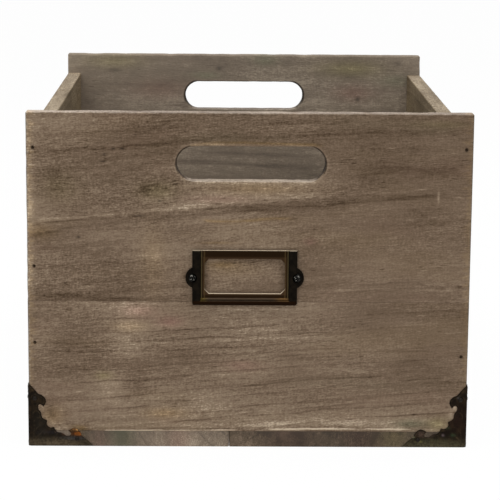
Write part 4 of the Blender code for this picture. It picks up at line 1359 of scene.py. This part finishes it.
def label_material():
    """Blackened brass, yellow in two lines beside the window, tan on the foot's bead, and a painted highlight
    in bare metal's colour on its top edge and the window's lower edge.
    """
    material, n, point = new_material("label_brass")
    x, y, z = n.split(point)
    cloud = n.noise(point, (260,), 4, 0.6)
    speck = n.noise(point, (1300,), 3, 0.6)
    sideways = n.size(x)
    past_side = n.minus(label_width / 2 - label_side_rim, sideways)
    past_foot = n.plus(y, label_height / 2 - label_foot_rim)
    past_rim = n.maths("MINIMUM", past_side, past_foot)
    beside, below = n.minus(sideways, window_right), n.minus(window_low, y)
    outside = n.most(beside, n.minus(y, window_high), below)
    colour = n.mix(n.step(cloud, -0.15, 0.2), srgb(13, 10, 7), srgb(25, 20, 14))
    colour = n.mix(n.step(past_rim, bead_width * 0.1, bead_width * 0.5), colour, srgb(33, 21, 9))
    colour = n.mix(n.step(outside, 0.0019, 0.0005, 0, 0.75), colour, srgb(60, 43, 28))
    colour = n.mix(n.step(past_foot, 0, -0.0005), colour, srgb(26, 13, 4))

    # The two rubbed lines, then the band on the bead at the foot
    wobble = n.times(cloud, 0.0008)
    for centre, strength, brass in label_rubbed_lines:
        crest = n.size(n.minus(past_side, centre))
        line = n.step(n.plus(crest, wobble), 0.0006, 0.0002, 0, strength)
        colour = n.mix(n.times(line, n.step(past_foot, 0, bead_width * 0.5)), colour, srgb(*brass))
    band = n.plus(n.size(n.minus(past_foot, bead_width * 0.42)), wobble)
    band = n.step(band, bead_width * 0.75, bead_width * 0.45)
    band = n.times(band, n.step(past_side, -0.0004, 0.0004))
    brass = n.mix(n.step(x, label_width * 0.26, label_width * 0.36), srgb(58, 47, 36), srgb(84, 62, 36))
    brass = n.mix(n.step(x, label_width * -0.34, label_width * -0.40), brass, srgb(72, 60, 28))
    colour = n.mix(n.times(band, 0.9), colour, brass)

    # Painted highlight, in the colour of bare rubbed metal, on the top edge, the lip below it, and the
    # window's lower edge and cut corners, where light from above falls
    highlit_faces_up = n.step(n.split(n.add("NewGeometry").outputs["Normal"])[2], 0.45, 0.85)
    top = n.step(y, label_height / 2 - 0.0003, label_height / 2 - 0.0001, 0, 0.85)
    lip = n.step(y, label_height / 2 - 0.0006, label_height / 2 - 0.0002, 0, 0.5)
    cut = n.times(n.plus(beside, below, window_corner_cut), math.sqrt(0.5))
    sill_highlight = n.step(n.size(n.most(below, cut)), 0.00055, 0.0003)
    sill_highlight = n.times(sill_highlight, n.step(beside, 0, -window_corner_cut, 0.3, 0.82), n.step(beside, 0.0003, 0))
    bare = n.times(n.most(n.times(highlit_faces_up, top), lip, sill_highlight), n.step(z, 0.0006, 0.0012))
    colour = n.mix(bare, colour, srgb(200, 182, 156))
    metallic = n.maths("MULTIPLY_ADD", bare, -0.75, 0.85)
    roughness = n.step(speck, -0.3, 0.3, 0.34, 0.56)
    set_surface(n, colour, roughness, metallic, specular=0.1, height=speck, strength=0.2, distance=0.0002)
    return material


def screw_material():
    """Blackened steel with painted glints here and there along the edges of the cross in the screw's head."""
    material, n, point = new_material("blackened_steel")
    x, y, z = n.split(point)
    speck = n.noise(point, (metal_grain,), 3, 0.6)
    x, y = n.size(x), n.size(y)
    arms = [n.most(n.minus(across, screw_recess_width / 2), n.minus(along, screw_recess_length / 2))
            for across, along in ((x, y), (y, x))]
    edge = n.size(n.maths("MINIMUM", *arms))
    glint = n.times(n.step(edge, 0.00045, 0.0001), n.step(speck, -0.05, 0.1), n.step(z, 0.0008, 0.0012))
    colour = n.mix(n.step(speck, -0.2, 0.2), srgb(14, 14, 13), srgb(30, 29, 27))
    colour = n.mix(glint, colour, srgb(150, 146, 138))
    set_surface(n, colour, roughness=0.4, metallic=0.85, specular=0.1)
    return material


def dress_brads(material):
    """Gives the brads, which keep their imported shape, their finish."""
    for name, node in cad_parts.items():
        if name.startswith(("wall_brad", "floor_brad")):
            node.data.materials.clear()
            node.data.materials.append(material)


def add_metalwork():
    bronze = metal_material("antique_bronze", srgb(20, 14, 7), srgb(39, 29, 17), srgb(80, 66, 46),
                            metallic=0.7, roughness=0.5, rust=0.25, spots=plate_grime_and_glints)
    pins = metal_material("pin_bronze", srgb(34, 30, 26), srgb(52, 46, 40), srgb(110, 104, 96),
                          metallic=0.8, roughness=0.38)
    steel = metal_material("brad_wire", srgb(44, 31, 18), srgb(60, 44, 28), srgb(92, 74, 54),
                           metallic=0.4, roughness=0.6)
    add_corner_plates(bronze)
    add_pins(pins)
    add_label_holder(label_material())
    add_screws(screw_material())
    dress_brads(steel)


def add_camera():
    """The photograph's camera."""
    level = Vector((math.sin(camera_yaw), math.cos(camera_yaw), 0))
    ahead = level * math.cos(camera_pitch) - Vector((0, 0, math.sin(camera_pitch)))
    right = Vector((math.cos(camera_yaw), -math.sin(camera_yaw), 0))
    up = right.cross(ahead)
    turned_right = right * math.cos(camera_roll) + up * math.sin(camera_roll)
    turned_up = up * math.cos(camera_roll) - right * math.sin(camera_roll)
    axes = Matrix((turned_right, turned_up, -ahead)).transposed().to_4x4()
    data = bpy.data.cameras.new("photo_camera")
    data.lens = camera_lens
    bpy.context.scene.camera = new_object("photo_camera", data, Matrix.Translation(camera_place) @ axes)


def whiten(owner, kind, inputs, brighten, output):
    """Gives a material or world one shader, mixed towards white where the camera or a gloss looks at it."""
    owner.use_nodes = True
    owner.node_tree.nodes.clear()
    n = Nodes(owner.node_tree)
    plain = n.add(kind, inputs).outputs[0]
    path = n.add("LightPath").outputs
    seen = n.most(path["Is Glossy Ray"], path["Is Transmission Ray"], path["Is Camera Ray"])
    white = n.add("Emission", {"Color": (1, 1, 1, 1), "Strength": 1}).outputs[0]
    mixed = n.add("MixShader", {0: n.times(seen, brighten), 1: plain, 2: white}).outputs[0]
    n.add(output, {0: mixed})


def add_stage():
    """A plain pale floor, and a world that is white behind it."""
    size = floor_size / 2
    corners = [(x * size, y * size, -floor_drop) for x, y in ((-1, -1), (1, -1), (1, 1), (-1, 1))]
    mesh = bpy.data.meshes.new("floor_mesh")
    mesh.from_pydata(corners, [], [(0, 1, 2, 3)])
    material = bpy.data.materials.new("stage_white")
    whiten(material, "BsdfDiffuse", {"Color": (0.90, 0.90, 0.89, 1)}, 0.97, "OutputMaterial")
    mesh.materials.append(material)
    floor = new_object("stage_floor", mesh)

    world = bpy.data.worlds.new("studio")
    whiten(world, "Background", {"Color": (0.97, 0.98, 1, 1), "Strength": 0.55}, 1, "OutputWorld")
    bpy.context.scene.world = world


def add_light(name, place, target, size, power):
    data = bpy.data.lights.new(name, "AREA")
    data.shape = "RECTANGLE"
    data.size, data.size_y = size
    data.energy = power
    view = Vector(target) - Vector(place)
    new_object(name, data, Matrix.Translation(place) @ view.to_track_quat("-Z", "Y").to_matrix().to_4x4())


add_camera()
add_stage()
add_light("overhead", (0.0, -0.2, 1.6), (0.0, 0.0, 0.1), (1.8, 1.4), 24.0)
add_light("front", (-0.3, -1.9, 1.1), (0.0, 0.0, 0.1), (1.6, 1.0), 8.0)
for wall in headings:
    add_wall(wall)
add_floor()
add_metalwork()

bpy.context.scene.view_settings.view_transform = "Standard"
